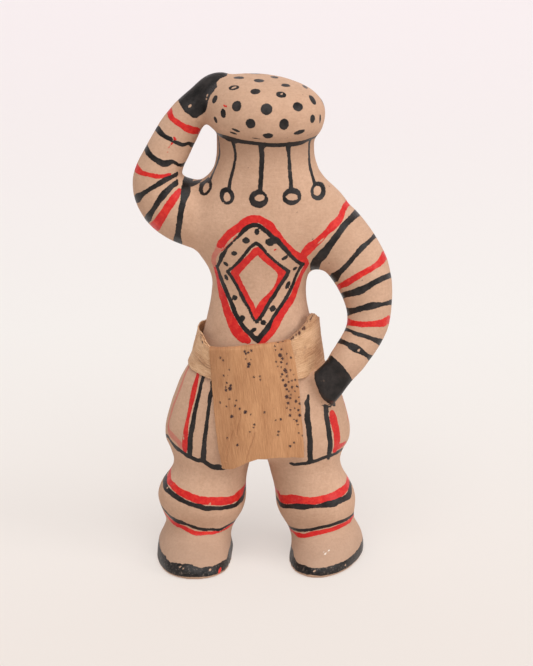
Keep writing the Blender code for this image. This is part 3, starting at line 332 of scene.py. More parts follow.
# Dots on the head: x, y, z, half the width, half the height and lean in degrees.
HEAD_DOTS = (
    (-8.4, 0.4, 179.6, 2.1, 1.5, 0), (-1.3, -2.2, 179.2, 2, 1.6, 0), (-2.8, 9.2, 179.3, 2.1, 1.5, 0),
    (4.1, 5.5, 178.8, 2, 1.4, 0), (8, -2.4, 177.5, 1.9, 1.3, -8), (14.9, 3.8, 175.7, 2, 1.1, 0),
    (-10.1, -6.7, 177.5, 2, 1.4, 12), (-2.6, -9.7, 176.8, 1.8, 1.45, 10), (6.4, -9.3, 175.6, 1.9, 1.6, -5),
    (17.5, -3.5, 172.6, 1.5, 2.1, -20), (-16.8, -6.5, 173.3, 1.2, 1.6, -12), (-9.1, -12.4, 172.1, 1.75, 1.9, -12),
    (1.3, -14.1, 171.4, 2.1, 2.05, 0), (12.3, -10.3, 171.5, 2.1, 1.7, 0), (17.5, -7.6, 166.5, 1.35, 1.5, 0),
    (-13.8, -10.5, 169.1, 1.15, 1.7, 12), (-16.6, -7.9, 166.2, 0.9, 1.3, 15), (20.2, -3.9, 165.8, 0.6, 1.7, 0),
    (-4.3, -14.4, 166.3, 1.8, 1.8, 0), (7.4, -13.7, 165.9, 1.75, 2.1, 5), (1.8, -13.5, 161.8, 1.85, 1.2, 0),
    (-9.8, 9.8, 179.2, 1.9, 1.65, -20), (10.6, 11.4, 176, 1.95, 1.72, 17), (0.4, 14, 178, 2, 1.79, 4),
    (-6.4, 17.4, 176.4, 1.9, 1.86, -9), (6.6, 18.6, 174.2, 1.95, 1.65, 28), (15.8, 14.4, 172.6, 2, 1.72, 15),
    (21.6, 4.6, 170, 1.9, 1.79, 2), (-14, 15.4, 175.2, 1.95, 1.86, -11), (-1.2, 21, 172.6, 2, 1.65, 26),
    (-9.6, 20, 170.6, 1.9, 1.72, 13), (9.6, 20, 167.4, 1.95, 1.79, 0), (-17, 14.6, 168.4, 2, 1.86, -13),
    (17.8, 14.4, 166.4, 1.9, 1.65, 24), (2.6, 22, 166.6, 1.95, 1.72, 11), (-5.2, 20.6, 164.8, 2, 1.79, -2),
    (21.2, 6.8, 164, 1.9, 1.86, -15), (-12.6, 17.2, 163.2, 1.95, 1.65, 22), (12.4, 17.4, 161.6, 2, 1.72, 9),
    (-20, 6.8, 166, 1.9, 1.79, -4),
)
RED_SPECKS = (
    (-13.2, -11.2, 171.8, 0.4), (-32.1, -2.9, 156.7, 0.5), (-33.0, -3.2, 155.5, 0.45), (-33.6, -3.5, 153.8, 0.35),
    (4.4, -12.8, 120.4, 0.45),
)

# Pale scratches on a foot and dark grains in the clay: x, y, z, radius.
PALE_FLECKS = (
    (22.6, -17.7, 7.3, 0.45), (24.0, -16.3, 8.1, 0.4), (22.1, -16.9, 7.8, 0.3), (23.1, -17.1, 7.9, 0.25),
)
DARK_GRAINS = (
    (17.6, -8.9, 123.6, 0.4), (12.0, -10.9, 133.7, 0.22), (13.6, -9.9, 121.0, 0.22), (35.3, -8.0, 108.0, 0.3),
)

# Where the brush left the clay bare inside its strokes: streaks (x, y, z, width) and flecks (x, y, z, radius).
BARE_STREAKS = (
    ((-13.2, -10.6, 121.4, 0.5), (-12.2, -11.1, 122.7, 0.8), (-10.9, -11.5, 124.1, 0.8), (-9.5, -11.9, 125.6, 0.5)),
    ((18.6, -8.8, 121.0, 0.3), (20.4, -8.9, 122.6, 0.5), (22.6, -8.6, 124.6, 0.3)),
    ((-29.0, -8.9, 50.0, 0.5), (-29.2, -8.8, 48.2, 0.6)),
)
BARE_FLECKS = (
    (-25.6, 0.4, 169.5, 0.6), (-19.5, -1.8, 173.8, 0.55), (-19.9, -2.3, 172.5, 0.5), (-19.3, -13.5, 25.1, 0.5),
    (-35.1, -5.2, 28.4, 0.45), (-30.0, -22.0, 4.0, 0.45), (-28.9, -22.7, 3.7, 0.4), (-19.1, -22.6, 3.2, 0.45),
    (18.7, -22.8, 2.7, 0.5), (30.1, -16.9, 2.5, 0.5), (34.2, -13.5, 83.7, 0.5), (-10.1, -6.7, 177.5, 0.75),
    (6.6, -9.0, 175.9, 0.5),
)

# The hoops are drawn on the doll's front alone, up to this y.
NECK_MIDDLE_Y = 2.0

# Outlines of the painted hands, seen from the front: x and z round the paint.
RAISED_HAND_PAINT = (
    (-31.6, 172.4), (-29.3, 169.8), (-27.5, 167.4), (-25.9, 166.6), (-24.8, 165.4), (-23.3, 165.2),
    (-21.7, 166.4), (-20.2, 167.8), (-19.5, 170.1), (-19.0, 172.4), (-18.4, 174.0), (-15.9, 177.0),
    (-16.3, 177.8), (-15.2, 178.8), (-12.6, 179.5), (-11.0, 184.0), (-30.0, 184.0),
)
HIP_HAND_PAINT = (
    (24.7, 81.2), (26.2, 80.4), (28.8, 78.1), (31.0, 74.9), (32.0, 72.4), (33.6, 70.2), (42.0, 65.0),
    (42.0, 57.0), (27.0, 58.0), (25.4, 60.3), (23.2, 62.8), (21.5, 64.8), (20.2, 67.2), (19.1, 70.5),
    (18.5, 72.5), (18.4, 74.3), (19.0, 75.8), (21.2, 77.8), (23.2, 79.6), (24.0, 80.8),
)
# What keeps that paint on the hands: the raised hand's middle and reach, and for the hip hand a plane (its y, the
# x from which it turns back, and its slope there) behind which nothing is painted.
RAISED_HAND_REACH = ((-21.0, 6.0, 173.5), 13.0)
HIP_HAND_PLANE = (-9.4, 25.0, 1.4)

# Each foot's middle (x and y), and the top edge of the black round its sole: degrees round the foot (-90 is the
# front) and height. The black begins this far above the ground.
LEFT_FOOT_MIDDLE, RIGHT_FOOT_MIDDLE = (-24.5, 2.0), (22.5, 2.0)
SOLE_PAINT_BOTTOM = 1.1
LEFT_SOLE_TOP = (
    (-180, 5.4), (-155, 5.6), (-138, 5.2), (-124, 5.1), (-116, 4.3), (-108, 5), (-102, 4.8), (-98, 5.1),
    (-93, 4.8), (-87, 4.3), (-83, 4.1), (-78, 4.1), (-70, 4), (-63, 4.3), (-54, 3.4), (-44, 4.5), (60, 4.6),
    (120, 5), (180, 5.4),
)
RIGHT_SOLE_TOP = (
    (-180, 5), (-138, 4.9), (-132, 4.3), (-121, 3.5), (-114, 3.7), (-108, 3.7), (-103, 3.5), (-98, 3.4),
    (-92, 3.7), (-87, 4), (-80, 4.2), (-73, 4.2), (-64, 4.3), (-52, 4.7), (-36, 5.1), (-14, 5.7), (60, 5),
    (120, 4.6), (180, 5),
)

# Sides of the feet that lie a little inside the CAD's: place, how far the tuck reaches and its way.
FOOT_TUCKS = (
    ((-10.0, -1.0, 6.5), 11.5, (-1.9, 0.0, 0.0)), ((-36.0, -3.0, 7.0), 10.0, (0.5, 0.0, 0.0)),
    ((9.5, -1.0, 6.0), 10.5, (0.9, 0.0, 0.0)),
)

# The band in the CAD part: angle (0 is +X, -90 the front), lower edge and upper edge.
CAD_BAND_EDGES = (
    (-90.0, 72.4, 86.5), (-62.0, 73.2, 87.0), (-42.0, 74.7, 88.8), (-20.0, 76.8, 91.4), (0.0, 77.5, 91.8),
    (30.0, 77.0, 90.4), (90.0, 76.6, 89.2), (145.0, 76.0, 87.2), (180.0, 75.5, 85.2), (202.0, 74.6, 84.4),
    (224.0, 72.7, 84.0), (248.0, 72.2, 85.2),
)
# The same for the bark laid on it, whose edges wander more.
BAND_EDGES = (
    (-90.0, 71.6, 84.2), (-69.0, 71.8, 85.4), (-58.5, 72.0, 86.7), (-51.5, 72.3, 88.4), (-42.0, 72.7, 90.2),
    (-36.5, 73.0, 91.4), (-31.5, 73.4, 92.9), (-26.5, 73.7, 94.3), (-18.0, 74.2, 94.2), (-9.0, 74.6, 92.3),
    (2.0, 74.9, 90.5), (30.0, 75.4, 89.4), (90.0, 75.8, 88.6), (145.0, 75.2, 87.7), (180.0, 74.2, 87.2),
    (198.0, 73.5, 87.0), (207.0, 73.2, 86.8), (214.0, 72.8, 85.0), (221.0, 72.3, 83.8), (248.0, 71.8, 83.6),
)
# The band's axis (x and y), and its rough radius and height, by which marks on it are measured.
BAND_AXIS = (-1.6, 3.9)
BAND_RADIUS, BAND_HEIGHT = 25.0, 13.0
# Where the band's upper rim leans in to the body at the doll's right: middle and spread in degrees, how far.
RIM_LEAN = (196.0, 17.0, 1.2)
# Dark specks along the band's worn upper edge: degrees, depth below the edge, radius.
BAND_SPECKS = (
    (-24.5, 1.4, 0.525), (-26.5, 1.6, 0.44), (-22.0, 1.0, 0.375), (-31.0, 0.9, 0.375), (-36.0, 1.2, 0.69),
    (-38.5, 0.8, 0.5), (-43.0, 1.0, 0.75), (-47.0, 0.7, 0.44), (-51.0, 0.8, 0.56), (-53.5, 0.7, 0.5),
    (-58.0, 0.8, 0.625), (-61.0, 0.6, 0.44), (-65.0, 0.6, 0.625), (-69.0, 0.5, 0.56), (-58.5, 1.6, 0.31),
    (202.0, 0.9, 0.375), (206.0, 1.8, 0.375), (198.0, 0.8, 0.31), (209.0, 2.6, 0.275),
)
# Brown stains on the band, given as its specks are.
BAND_STAINS = ((-37.0, 8.0, 1.1), (-49.0, 6.8, 0.9), (-39.0, 9.2, 0.9), (-30.0, 12.5, 0.6))
# Insect holes in the band's overlapping end: degrees, share of the band's height, radius.
END_HOLES = ((205.0, 0.93, 0.45), (209.5, 0.89, 0.4), (213.0, 0.86, 0.2))
# Raised rings round old knots, on the band and on its end: degrees, share of its height, radius and rise.
BAND_RINGS = ((218.0, 0.15, 0.7, 0.16),)
END_RINGS = ((211.5, 0.73, 0.85, 0.20), (208.5, 0.90, 0.25, 0.16))

# How far under the CAD apron's upper edge the bark's fold lies, at its left and right end.
FOLD_DROP = (1.3, 1.1)
# The apron's width and height below its fold.
APRON_SIZE = (30.0, 47.0)

# The apron's side edges (x and z, from the fold down) and how far its hem rises above its corners.
APRON_LEFT = ((-19.2, 84.6), (-18.7, 78.0), (-18.1, 70.0), (-17.1, 58.0), (-15.7, 46.0), (-14.5, 39.7))
APRON_RIGHT = ((9.7, 87.4), (11.1, 81.0), (12.5, 72.0), (13.7, 60.0), (14.5, 50.0), (14.8, 43.7))
APRON_HEM = ((0.0, 0.0), (0.07, -0.3), (0.2, 0.3), (0.3, 1.5), (0.42, 2.3), (0.55, 2.3), (0.83, 1.2), (1.0, 0.0))

# Dark specks in the apron's bark: place across and down it (shares of its width and height), radius.
APRON_SPECKS = (
    (0.84, 0.005, 0.35), (0.90, 0.008, 0.35), (0.80, 0.04, 0.25), (0.80, 0.07, 0.25), (0.87, 0.07, 0.35),
    (0.84, 0.12, 0.65), (0.92, 0.12, 0.25), (0.96, 0.16, 0.35), (0.86, 0.15, 0.45), (0.78, 0.17, 0.25),
    (0.84, 0.18, 0.4), (0.79, 0.21, 0.25), (0.87, 0.25, 0.6), (0.88, 0.27, 0.35), (0.83, 0.28, 0.4),
    (0.88, 0.30, 0.35), (0.93, 0.26, 0.25), (0.83, 0.33, 0.4), (0.89, 0.35, 0.3), (0.93, 0.345, 0.3),
    (0.97, 0.345, 0.35), (0.85, 0.375, 0.55), (0.86, 0.41, 0.4), (0.92, 0.40, 0.4), (0.98, 0.40, 0.4),
    (0.88, 0.43, 0.3), (0.85, 0.475, 0.6), (0.89, 0.49, 0.35), (0.86, 0.53, 0.45), (0.95, 0.525, 0.45),
    (0.99, 0.545, 0.35), (0.84, 0.57, 0.25), (0.87, 0.635, 0.45), (0.98, 0.64, 0.45), (0.97, 0.60, 0.35),
    (0.94, 0.685, 0.4), (0.95, 0.72, 0.25), (0.95, 0.79, 0.25), (0.99, 0.81, 0.25), (0.70, 0.67, 0.25),
    (0.76, 0.665, 0.35), (0.72, 0.77, 0.35), (0.71, 0.80, 0.35), (0.89, 0.87, 0.3), (0.84, 0.90, 0.4),
    (0.13, 0.09, 0.35), (0.16, 0.11, 0.3), (0.22, 0.19, 0.25), (0.15, 0.235, 0.3), (0.18, 0.295, 0.3),
    (0.22, 0.32, 0.45), (0.16, 0.355, 0.4), (0.21, 0.345, 0.6), (0.16, 0.33, 0.3), (0.19, 0.43, 0.25),
    (0.08, 0.455, 0.3), (0.15, 0.485, 0.25), (0.25, 0.495, 0.35), (0.27, 0.455, 0.25), (0.30, 0.53, 0.35),
    (0.20, 0.575, 0.5), (0.36, 0.57, 0.55), (0.42, 0.60, 0.25), (0.45, 0.69, 0.35), (0.44, 0.715, 0.25),
    (0.58, 0.595, 0.3), (0.12, 0.74, 0.3), (0.23, 0.82, 0.4), (0.39, 0.745, 0.25), (0.43, 0.055, 0.4),
    (0.44, 0.075, 0.4), (0.51, 0.055, 0.35), (0.47, 0.068, 0.35), (0.43, 0.12, 0.25), (0.46, 0.165, 0.55),
    (0.45, 0.185, 0.45), (0.49, 0.13, 0.2), (0.50, 0.28, 0.3), (0.57, 0.28, 0.3), (0.57, 0.31, 0.3),
    (0.83, 0.22, 0.25), (0.90, 0.20, 0.3), (0.81, 0.30, 0.2), (0.96, 0.30, 0.2), (0.90, 0.46, 0.25),
    (0.95, 0.44, 0.25), (0.93, 0.58, 0.25), (0.88, 0.59, 0.3), (0.91, 0.67, 0.2), (0.99, 0.49, 0.25),
)
# Creases: place across and down along the crease.
APRON_CREASES = (
    ((0.30, 0.58), (0.287, 0.623), (0.255, 0.672), (0.237, 0.735)),
    ((0.445, 0.765), (0.405, 0.835), (0.37, 0.88), (0.335, 0.935), (0.305, 0.985)),
    ((0.19, 0.70), (0.11, 0.83), (0.065, 0.93)),
)
# A red smear from the doll's paint on the apron's fold: the middles of its two halves and their half widths.
APRON_SMEAR = ((15.4, 1.0), (19.6, 2.0))

# From here on the stage, in metres. The sweep of paper: its width, where it begins in front, how far it runs
# level, the radius of its bend and its length.
PAPER_WIDTH, PAPER_START, PAPER_LEVEL, PAPER_BEND, PAPER_LENGTH = 6.0, -2.4, 3.2, 0.7, 5.2
# The two ends (y) and the middle (share between them) of the paper's blend from one colour to the next.
PAPER_BLEND = (-0.1, 1.1, 0.32)
# Painted light: the glow that makes the paper as bright as full light on it does.
FULL_GLOW = 1.07
# Place and diameter of each soft light.
KEY_LIGHT = ((0.15, -1.2, 2.25), 2.2)
SIDE_LIGHT = ((2.6, -1.2, 1.2), 1.5)
LIGHT_AIM = (0.0, 0.0, 0.09)
# The camera: place, degrees from looking straight down, and lens in millimetres on a sensor 36 mm wide.
CAMERA_PLACE, CAMERA_PITCH, CAMERA_LENS = (0.001286, -0.85730, 0.34813), 73.0, 134.0


# ---------------------------------------------------------------- settings


class ClaySettings(PropertyGroup):
    clay_colour: FloatVectorProperty(
        name="Clay", description="Colour of the bare fired clay", subtype="COLOR", size=4, min=0.0, max=1.0,
        default=(0.612, 0.383, 0.260, 1.0),
    )
    black_colour: FloatVectorProperty(
        name="Black paint", description="Colour of the black paint", subtype="COLOR", size=4, min=0.0, max=1.0,
        default=(0.0075, 0.0056, 0.0051, 1.0),
    )
    red_colour: FloatVectorProperty(
        name="Red paint", description="Colour of the red paint", subtype="COLOR", size=4, min=0.0, max=1.0,
        default=(0.59, 0.011, 0.011, 1.0),
    )
    skin_step: FloatProperty(
        name="Skin step", description="Size of the squares that the clay skin is made of", unit="LENGTH",
        subtype="DISTANCE", default=0.00072, min=0.0004, max=0.003,
    )
    dent_depth: FloatProperty(
        name="Dents", description="Depth of the dents that the maker's fingers left", unit="LENGTH",
        subtype="DISTANCE", default=0.00028, min=0.0, max=0.001,
    )


class BarkSettings(PropertyGroup):
    light_colour: FloatVectorProperty(
        name="Light bark", description="Lighter colour of the bark", subtype="COLOR", size=4, min=0.0, max=1.0,
        default=(0.580, 0.272, 0.115, 1.0),
    )
    dark_colour: FloatVectorProperty(
        name="Dark bark", description="Darker colour of the bark's grain", subtype="COLOR", size=4, min=0.0,
        max=1.0, default=(0.37, 0.160, 0.066, 1.0),
    )
    apron_thickness: FloatProperty(
        name="Apron thickness", description="Thickness of the apron's bark", unit="LENGTH",
        subtype="DISTANCE", default=0.0007, min=0.0003, max=0.0015,
    )
    band_thickness: FloatProperty(
        name="Band thickness", description="Thickness of one layer of the band's bark", unit="LENGTH",
        subtype="DISTANCE", default=0.0005, min=0.0003, max=0.001,
    )
    grain_depth: FloatProperty(
        name="Grain depth", description="Height of the ridges along the bark's grain", unit="LENGTH",
        subtype="DISTANCE", default=0.00006, min=0.0, max=0.0003,
    )


class StageSettings(PropertyGroup):
    near_colour: FloatVectorProperty(
        name="Near floor", description="Colour of the floor before the doll", subtype="COLOR", size=4, min=0.0,
        max=1.0, default=(0.807, 0.740, 0.691, 1.0),
    )
    middle_colour: FloatVectorProperty(
        name="Floor behind", description="Colour of the floor a little behind the doll", subtype="COLOR", size=4,
        min=0.0, max=1.0, default=(0.864, 0.825, 0.792, 1.0),
    )
    far_colour: FloatVectorProperty(
        name="Backdrop", description="Colour where the floor turns up into the backdrop", subtype="COLOR", size=4,
        min=0.0, max=1.0, default=(0.92, 0.842, 0.851, 1.0),
    )
    key_power: FloatProperty(
        name="Key light", description="Power of the large soft light high in front of the doll", unit="POWER",
        default=43.0, min=0.0, max=500.0,
    )
    side_power: FloatProperty(
        name="Side light", description="Power of the soft light on the right", unit="POWER", default=30.5,
        min=0.0, max=500.0,
    )
    # The paper's glow is painted light: it lightens the shadows on the floor.
    glow: FloatProperty(
        name="Glow", description="Share of the floor's brightness that comes through it from behind",
        subtype="FACTOR", default=0.55, min=0.0, max=1.0,
    )
    sky_strength: FloatProperty(
        name="Room light", description="Strength of the even light from all round", default=0.41, min=0.0,
        max=5.0,
    )


# ---------------------------------------------------------------- small tools


def only(piece):
    """Selects one piece and nothing else."""
    bpy.ops.object.select_all(action="DESELECT")
    piece.select_set(True)
    bpy.context.view_layer.objects.active = piece


def apply_modifier(piece, name, kind, **values):
    only(piece)
    modifier = piece.modifiers.new(name, kind)
    for key, value in values.items():
        setattr(modifier, key, value)
    bpy.ops.object.modifier_apply(modifier=modifier.name)


def place_of_vertices(piece):
    places = np.empty(len(piece.data.vertices) * 3)
    piece.data.vertices.foreach_get("co", places)
    return places.reshape(-1, 3)


def normals_of_vertices(piece):
    normals = np.empty(len(piece.data.vertices) * 3, dtype=np.float32)
    piece.data.vertex_normals.foreach_get("vector", normals)
    return normals.reshape(-1, 3)


def move_vertices(piece, places):
    piece.data.vertices.foreach_set("co", np.ascontiguousarray(places, dtype=np.float32).ravel())
    piece.data.update()


def give_attribute(piece, name, values):
    attribute = piece.data.attributes.new(name, "FLOAT", "POINT")
    attribute.data.foreach_set("value", np.ascontiguousarray(values, dtype=np.float32))


def tree_of(piece):
    """A search tree of a piece's triangles, in millimetres."""
    piece.data.calc_loop_triangles()
    places = [Vector(v.co) / MM for v in piece.data.vertices]
    return BVHTree.FromPolygons(places, [tuple(t.vertices) for t in piece.data.loop_triangles])


def rippled(across, down, *waves):
    """Noise over two lists of numbers: for each wave its height, its two scales and its seed."""
    return np.array([
        sum(rise * noise.noise(Vector((a * scale_a, d * scale_d, seed))) for rise, scale_a, scale_d, seed in waves)
        for a, d in zip(across, down)
    ])


def smooth_between(table, at):
    """Values of a table, read at its first column, on a smooth curve that doesn't overshoot much."""
    table = np.asarray(table, float)
    keys, rest = table[:, 0], table[:, 1:]
    slopes = np.gradient(rest, keys, axis=0)
    at = np.clip(at, keys[0], keys[-1])
    index = np.clip(np.searchsorted(keys, at, side="right") - 1, 0, len(keys) - 2)
    step = (keys[index + 1] - keys[index])[..., None]
    t = ((at - keys[index])[..., None]) / step
    a, b = rest[index], rest[index + 1]
    return (
        a * (1 + 2 * t) * (1 - t) ** 2 + b * t * t * (3 - 2 * t)
        + slopes[index] * step * t * (1 - t) ** 2 - slopes[index + 1] * step * t * t * (1 - t)
    )


def along(path, spacing):
    """Points at an even spacing on a polyline."""
    path = np.asarray(path, float)
    lengths = np.concatenate([[0.0], np.cumsum(np.linalg.norm(np.diff(path, axis=0), axis=1))])
    places = np.linspace(0.0, lengths[-1], max(2, int(lengths[-1] / spacing) + 1))
    return np.stack([np.interp(places, lengths, path[:, axis]) for axis in range(path.shape[1])], axis=1)


def wander(place, size, seed):
    """Smooth noise from -1 to 1 at a place in millimetres."""
    return noise.noise(Vector((place[0] / size + seed, place[1] / size - seed, place[2] / size + 2.0 * seed)))


# ---------------------------------------------------------------- paint


class Paint:
    """Where the brush has been: points on the skin, each with half the stroke's width there, in millimetres."""

    STROKE_STEP = 0.25
    RING_STEP_DEGREES = 0.6

    def __init__(self, skin):
        self.skin = skin
        self.touched = []
        self.dots = []

    def touch(self, place, width):
        on_skin = self.skin.find_nearest(Vector(place))[0]
        swell = 1.0 + 0.10 * wander(on_skin, 4.0, width) + 0.08 * wander(on_skin, 1.5, width + 3.0)
        self.touched.append((on_skin, width / 2.0 * swell))

    def stroke(self, path):
        """A stroke through points on the skin (x, y, z, width); a point given twice is a sharp corner."""
        breaks = [i + 1 for i in range(len(path) - 1) if path[i][:3] == path[i + 1][:3]]
        for first, last in zip([0] + breaks, breaks + [len(path)]):
            if last - first < 2:
                continue
            part = np.array(path[first:last])
            lengths = np.concatenate([[0.0], np.cumsum(np.linalg.norm(np.diff(part[:, :3], axis=0), axis=1))])
            places = np.arange(0.0, lengths[-1], self.STROKE_STEP)
            for x, y, z, width in smooth_between(np.column_stack([lengths, part]), places):
                self.touch((x, y, z), width)

    def ring(self, centre, normal, reach, path, back_part=(0.0, 360.0)):
        """A stroke round a limb: its measured front, and a back that joins the front's two ends."""
        self.stroke(path)
        centre, normal = Vector(centre), Vector(normal).normalized()
        side = (Vector((1.0, 0.0, 0.0)) - normal * normal.x).normalized()
        back = normal.cross(side)
        ends = []
        for x, y, z, width in (path[0], path[-1]):
            arm = Vector((x, y, z)) - centre
            turn = (math.degrees(math.atan2(arm.dot(back), arm.dot(side))) + 90.0) % 360.0
            ends.append((turn, arm.dot(normal), width))
        (start, start_lift, start_width), (end, end_lift, end_width) = sorted(ends)
        middle_width = sum(point[3] for point in path) / len(path)
        for turn in np.arange(max(start, back_part[0]), min(end, back_part[1]), self.RING_STEP_DEGREES):
            share = (turn - start) / (end - start)
            angle = math.radians(turn - 90.0)
            lift = start_lift + (end_lift - start_lift) * share
            way = side * math.cos(angle) + back * math.sin(angle)
            place, _, _, distance = self.skin.ray_cast(centre + normal * lift, way)
            if place is None or distance > reach:
                continue
            width = start_width + (end_width - start_width) * share
            width += (middle_width - width) * math.sin(math.pi * share)
            self.touch(place + normal * (0.3 * math.sin(math.pi * share) * wander(place, 9.0, reach)), width)

    def dot(self, place, half_length, half_width, lean):
        """One touch of the brush: an oval on the skin, leaning by so many degrees as seen from outside."""
        on_skin, outward, _, _ = self.skin.find_nearest(Vector(place))
        level = Vector((0.0, 0.0, 1.0)).cross(outward).normalized()
        level = level if level.length > 0.5 else Vector((1.0, 0.0, 0.0))
        rising = outward.cross(level)
        turn = math.radians(lean)
        long_way = level * math.cos(turn) + rising * math.sin(turn)
        self.dots.append((on_skin, long_way, outward.cross(long_way), half_length, half_width))

    def depth_at(self, places):
        """How far inside the paint each place is, in millimetres: negative outside it."""
        depth = np.full(len(places), -PAINT_RANGE)
        if self.touched:
            near = KDTree(len(self.touched))
            for number, (place, _) in enumerate(self.touched):
                near.insert(place, number)
            near.balance()
            for index, place in enumerate(places):
                for _, number, distance in near.find_n(place, 4):
                    depth[index] = max(depth[index], self.touched[number][1] - distance)
        spots = np.array(places)
        for centre, long_way, short_way, half_length, half_width in self.dots:
            long_way, short_way = np.array(long_way), np.array(short_way)
            off = spots - np.array(centre)
            close = np.flatnonzero(np.abs(off).max(axis=1) < half_length + 2.0)
            off = off[close]
            far = np.hypot(off @ long_way / half_length, off @ short_way / half_width)
            off_skin = np.abs(off @ np.cross(long_way, short_way))
            inside = (1.0 - far) * half_width - np.maximum(off_skin - 1.2, 0.0)
            depth[close] = np.maximum(depth[close], inside)
        return depth


def depth_in_oval(places, x, z, half_width, half_height, lean):
    """How far inside an oval, seen from the front, each place is, in millimetres."""
    turn = math.radians(lean)
    right, up = places[:, 0] - x, places[:, 2] - z
    across, along_up = right * math.cos(turn) - up * math.sin(turn), right * math.sin(turn) + up * math.cos(turn)
    return (1.0 - np.hypot(across / half_width, along_up / half_height)) * min(half_width, half_height)


def depth_in_outline(outline, places):
    """How far inside an outline in x and z each place is, in millimetres: negative outside it."""
    outline = np.asarray(outline, float)
    flat = places[:, (0, 2)]
    inside = np.zeros(len(flat), bool)
    nearest = np.full(len(flat), 1e9)
    for a, b in zip(outline, np.roll(outline, -1, axis=0)):
        crosses = (a[1] > flat[:, 1]) != (b[1] > flat[:, 1])
        with np.errstate(divide="ignore", invalid="ignore"):
            at = a[0] + (flat[:, 1] - a[1]) * (b[0] - a[0]) / (b[1] - a[1])
        inside ^= crosses & (flat[:, 0] < at)
        side = b - a
        share = np.clip(((flat - a) @ side) / (side @ side), 0.0, 1.0)
        nearest = np.minimum(nearest, np.linalg.norm(flat - a - share[:, None] * side, axis=1))
    return np.where(inside, nearest, -nearest)


def paint_doll(doll):
    """Gives the skin its paint: for each kind, how deep inside the paint each point lies, in millimetres."""
    skin = tree_of(doll)
    black, red, thin, over, bare, pale = (Paint(skin) for _ in range(6))
    for ring in BLACK_RINGS:
        black.ring(*ring)
    for ring in RED_RINGS:
        red.ring(*ring)
    for paint, strokes in ((black, BLACK_STROKES), (red, RED_STROKES), (thin, THIN_RED_STROKES),
                           (over, RED_OVER_BLACK), (bare, BARE_STREAKS)):
        for path in strokes:
            paint.stroke(path)
    for x, y, z, half_length, half_width, lean in BORDER_DOTS + HEAD_DOTS:
        black.dot((x, y, z), half_length, half_width, lean)
    for paint, spots in ((red, RED_SPECKS), (bare, BARE_FLECKS), (pale, PALE_FLECKS), (black, DARK_GRAINS)):
        for x, y, z, radius in spots:
            paint.dot((x, y, z), radius * 1.3, radius * 0.8, 40.0)

    places = place_of_vertices(doll) / MM
    vectors = [Vector(place) for place in places]
    x, y, z = places.T
    depth = black.depth_at(vectors)
    for hoop in BLACK_HOOPS:
        drawn = np.minimum(depth_in_oval(places, *hoop[:5]), -depth_in_oval(places, *hoop[5:]))
        depth = np.maximum(depth, np.where(y < NECK_MIDDLE_Y, drawn, -PAINT_RANGE))

    middle, reach = RAISED_HAND_REACH
    in_reach = reach - np.linalg.norm(places - np.array(middle), axis=1)
    depth = np.maximum(depth, np.minimum(depth_in_outline(RAISED_HAND_PAINT, places), in_reach))
    plane_y, turn_x, slope = HIP_HAND_PLANE
    before_plane = plane_y + np.maximum(x - turn_x, 0.0) * slope - y
    depth = np.maximum(depth, np.minimum(depth_in_outline(HIP_HAND_PAINT, places), before_plane))

    ragged = np.array([0.30 * wander(v, 4.0, 2.0) + 0.18 * wander(v, 1.2, 6.0) for v in vectors])
    left = x < 0.0
    off_x = x - np.where(left, LEFT_FOOT_MIDDLE[0], RIGHT_FOOT_MIDDLE[0])
    off_y = y - np.where(left, LEFT_FOOT_MIDDLE[1], RIGHT_FOOT_MIDDLE[1])
    around = np.degrees(np.arctan2(off_y, off_x))
    sole_top = np.where(left, np.interp(around, *zip(*LEFT_SOLE_TOP)), np.interp(around, *zip(*RIGHT_SOLE_TOP)))
    depth = np.maximum(depth, np.minimum(sole_top + ragged - z, z - SOLE_PAINT_BOTTOM - 0.4 * ragged))

    on_top = over.depth_at(vectors)
    for name, inside in (
        ("black_paint", np.minimum(depth, -on_top)),
        ("red_paint", np.maximum(red.depth_at(vectors), on_top)),
        ("thin_red_paint", thin.depth_at(vectors)),
        ("bare_clay", bare.depth_at(vectors)),
        ("pale_fleck", pale.depth_at(vectors)),
    ):
        give_attribute(doll, name, np.clip(inside, -PAINT_RANGE, PAINT_RANGE))


# ---------------------------------------------------------------- materials


def material_with(name):
    material = bpy.data.materials.new(name)
    material.use_nodes = True
    return material, material.node_tree, material.node_tree.nodes["Principled BSDF"]


def add_node(tree, kind, **values):
    made = tree.nodes.new(kind)
    for key, value in values.items():
        if key in made.inputs:
            made.inputs[key].default_value = value
        else:
            setattr(made, key, value)
    return made


def math_node(tree, operation, first, second=None, clamp=False):
    made = tree.nodes.new("ShaderNodeMath")
    made.operation, made.use_clamp = operation, clamp
    for socket, value in zip(made.inputs, (first, second)):
        if value is None:
            continue
        if isinstance(value, (int, float)):
            socket.default_value = value
        else:
            tree.links.new(value, socket)
    return made.outputs[0]


def ranged(tree, value, low, high, to_low=0.0, to_high=1.0, smooth=False):
    made = tree.nodes.new("ShaderNodeMapRange")
    made.interpolation_type = "SMOOTHSTEP" if smooth else "LINEAR"
    for name, number in (("From Min", low), ("From Max", high), ("To Min", to_low), ("To Max", to_high)):
        made.inputs[name].default_value = number
    tree.links.new(value, made.inputs["Value"])
    return made.outputs["Result"]


def mixed(tree, share, first, second, blend="MIX"):
    made = tree.nodes.new("ShaderNodeMix")
    made.data_type, made.blend_type = "RGBA", blend
    for socket, value in ((made.inputs[0], share), (made.inputs[6], first), (made.inputs[7], second)):
        if isinstance(value, (int, float, tuple)):
            socket.default_value = value
        else:
            tree.links.new(value, socket)
    return made.outputs[2]


def noise_of(tree, vector, scale, detail=3.0, roughness=0.5, stretch=None):
    if stretch is not None:
        mapping = tree.nodes.new("ShaderNodeMapping")
        mapping.inputs["Scale"].default_value = stretch
        tree.links.new(vector, mapping.inputs["Vector"])
        vector = mapping.outputs["Vector"]
    made = add_node(tree, "ShaderNodeTexNoise", Scale=scale, Detail=detail, Roughness=roughness)
    tree.links.new(vector, made.inputs["Vector"])
    return made.outputs["Fac"]


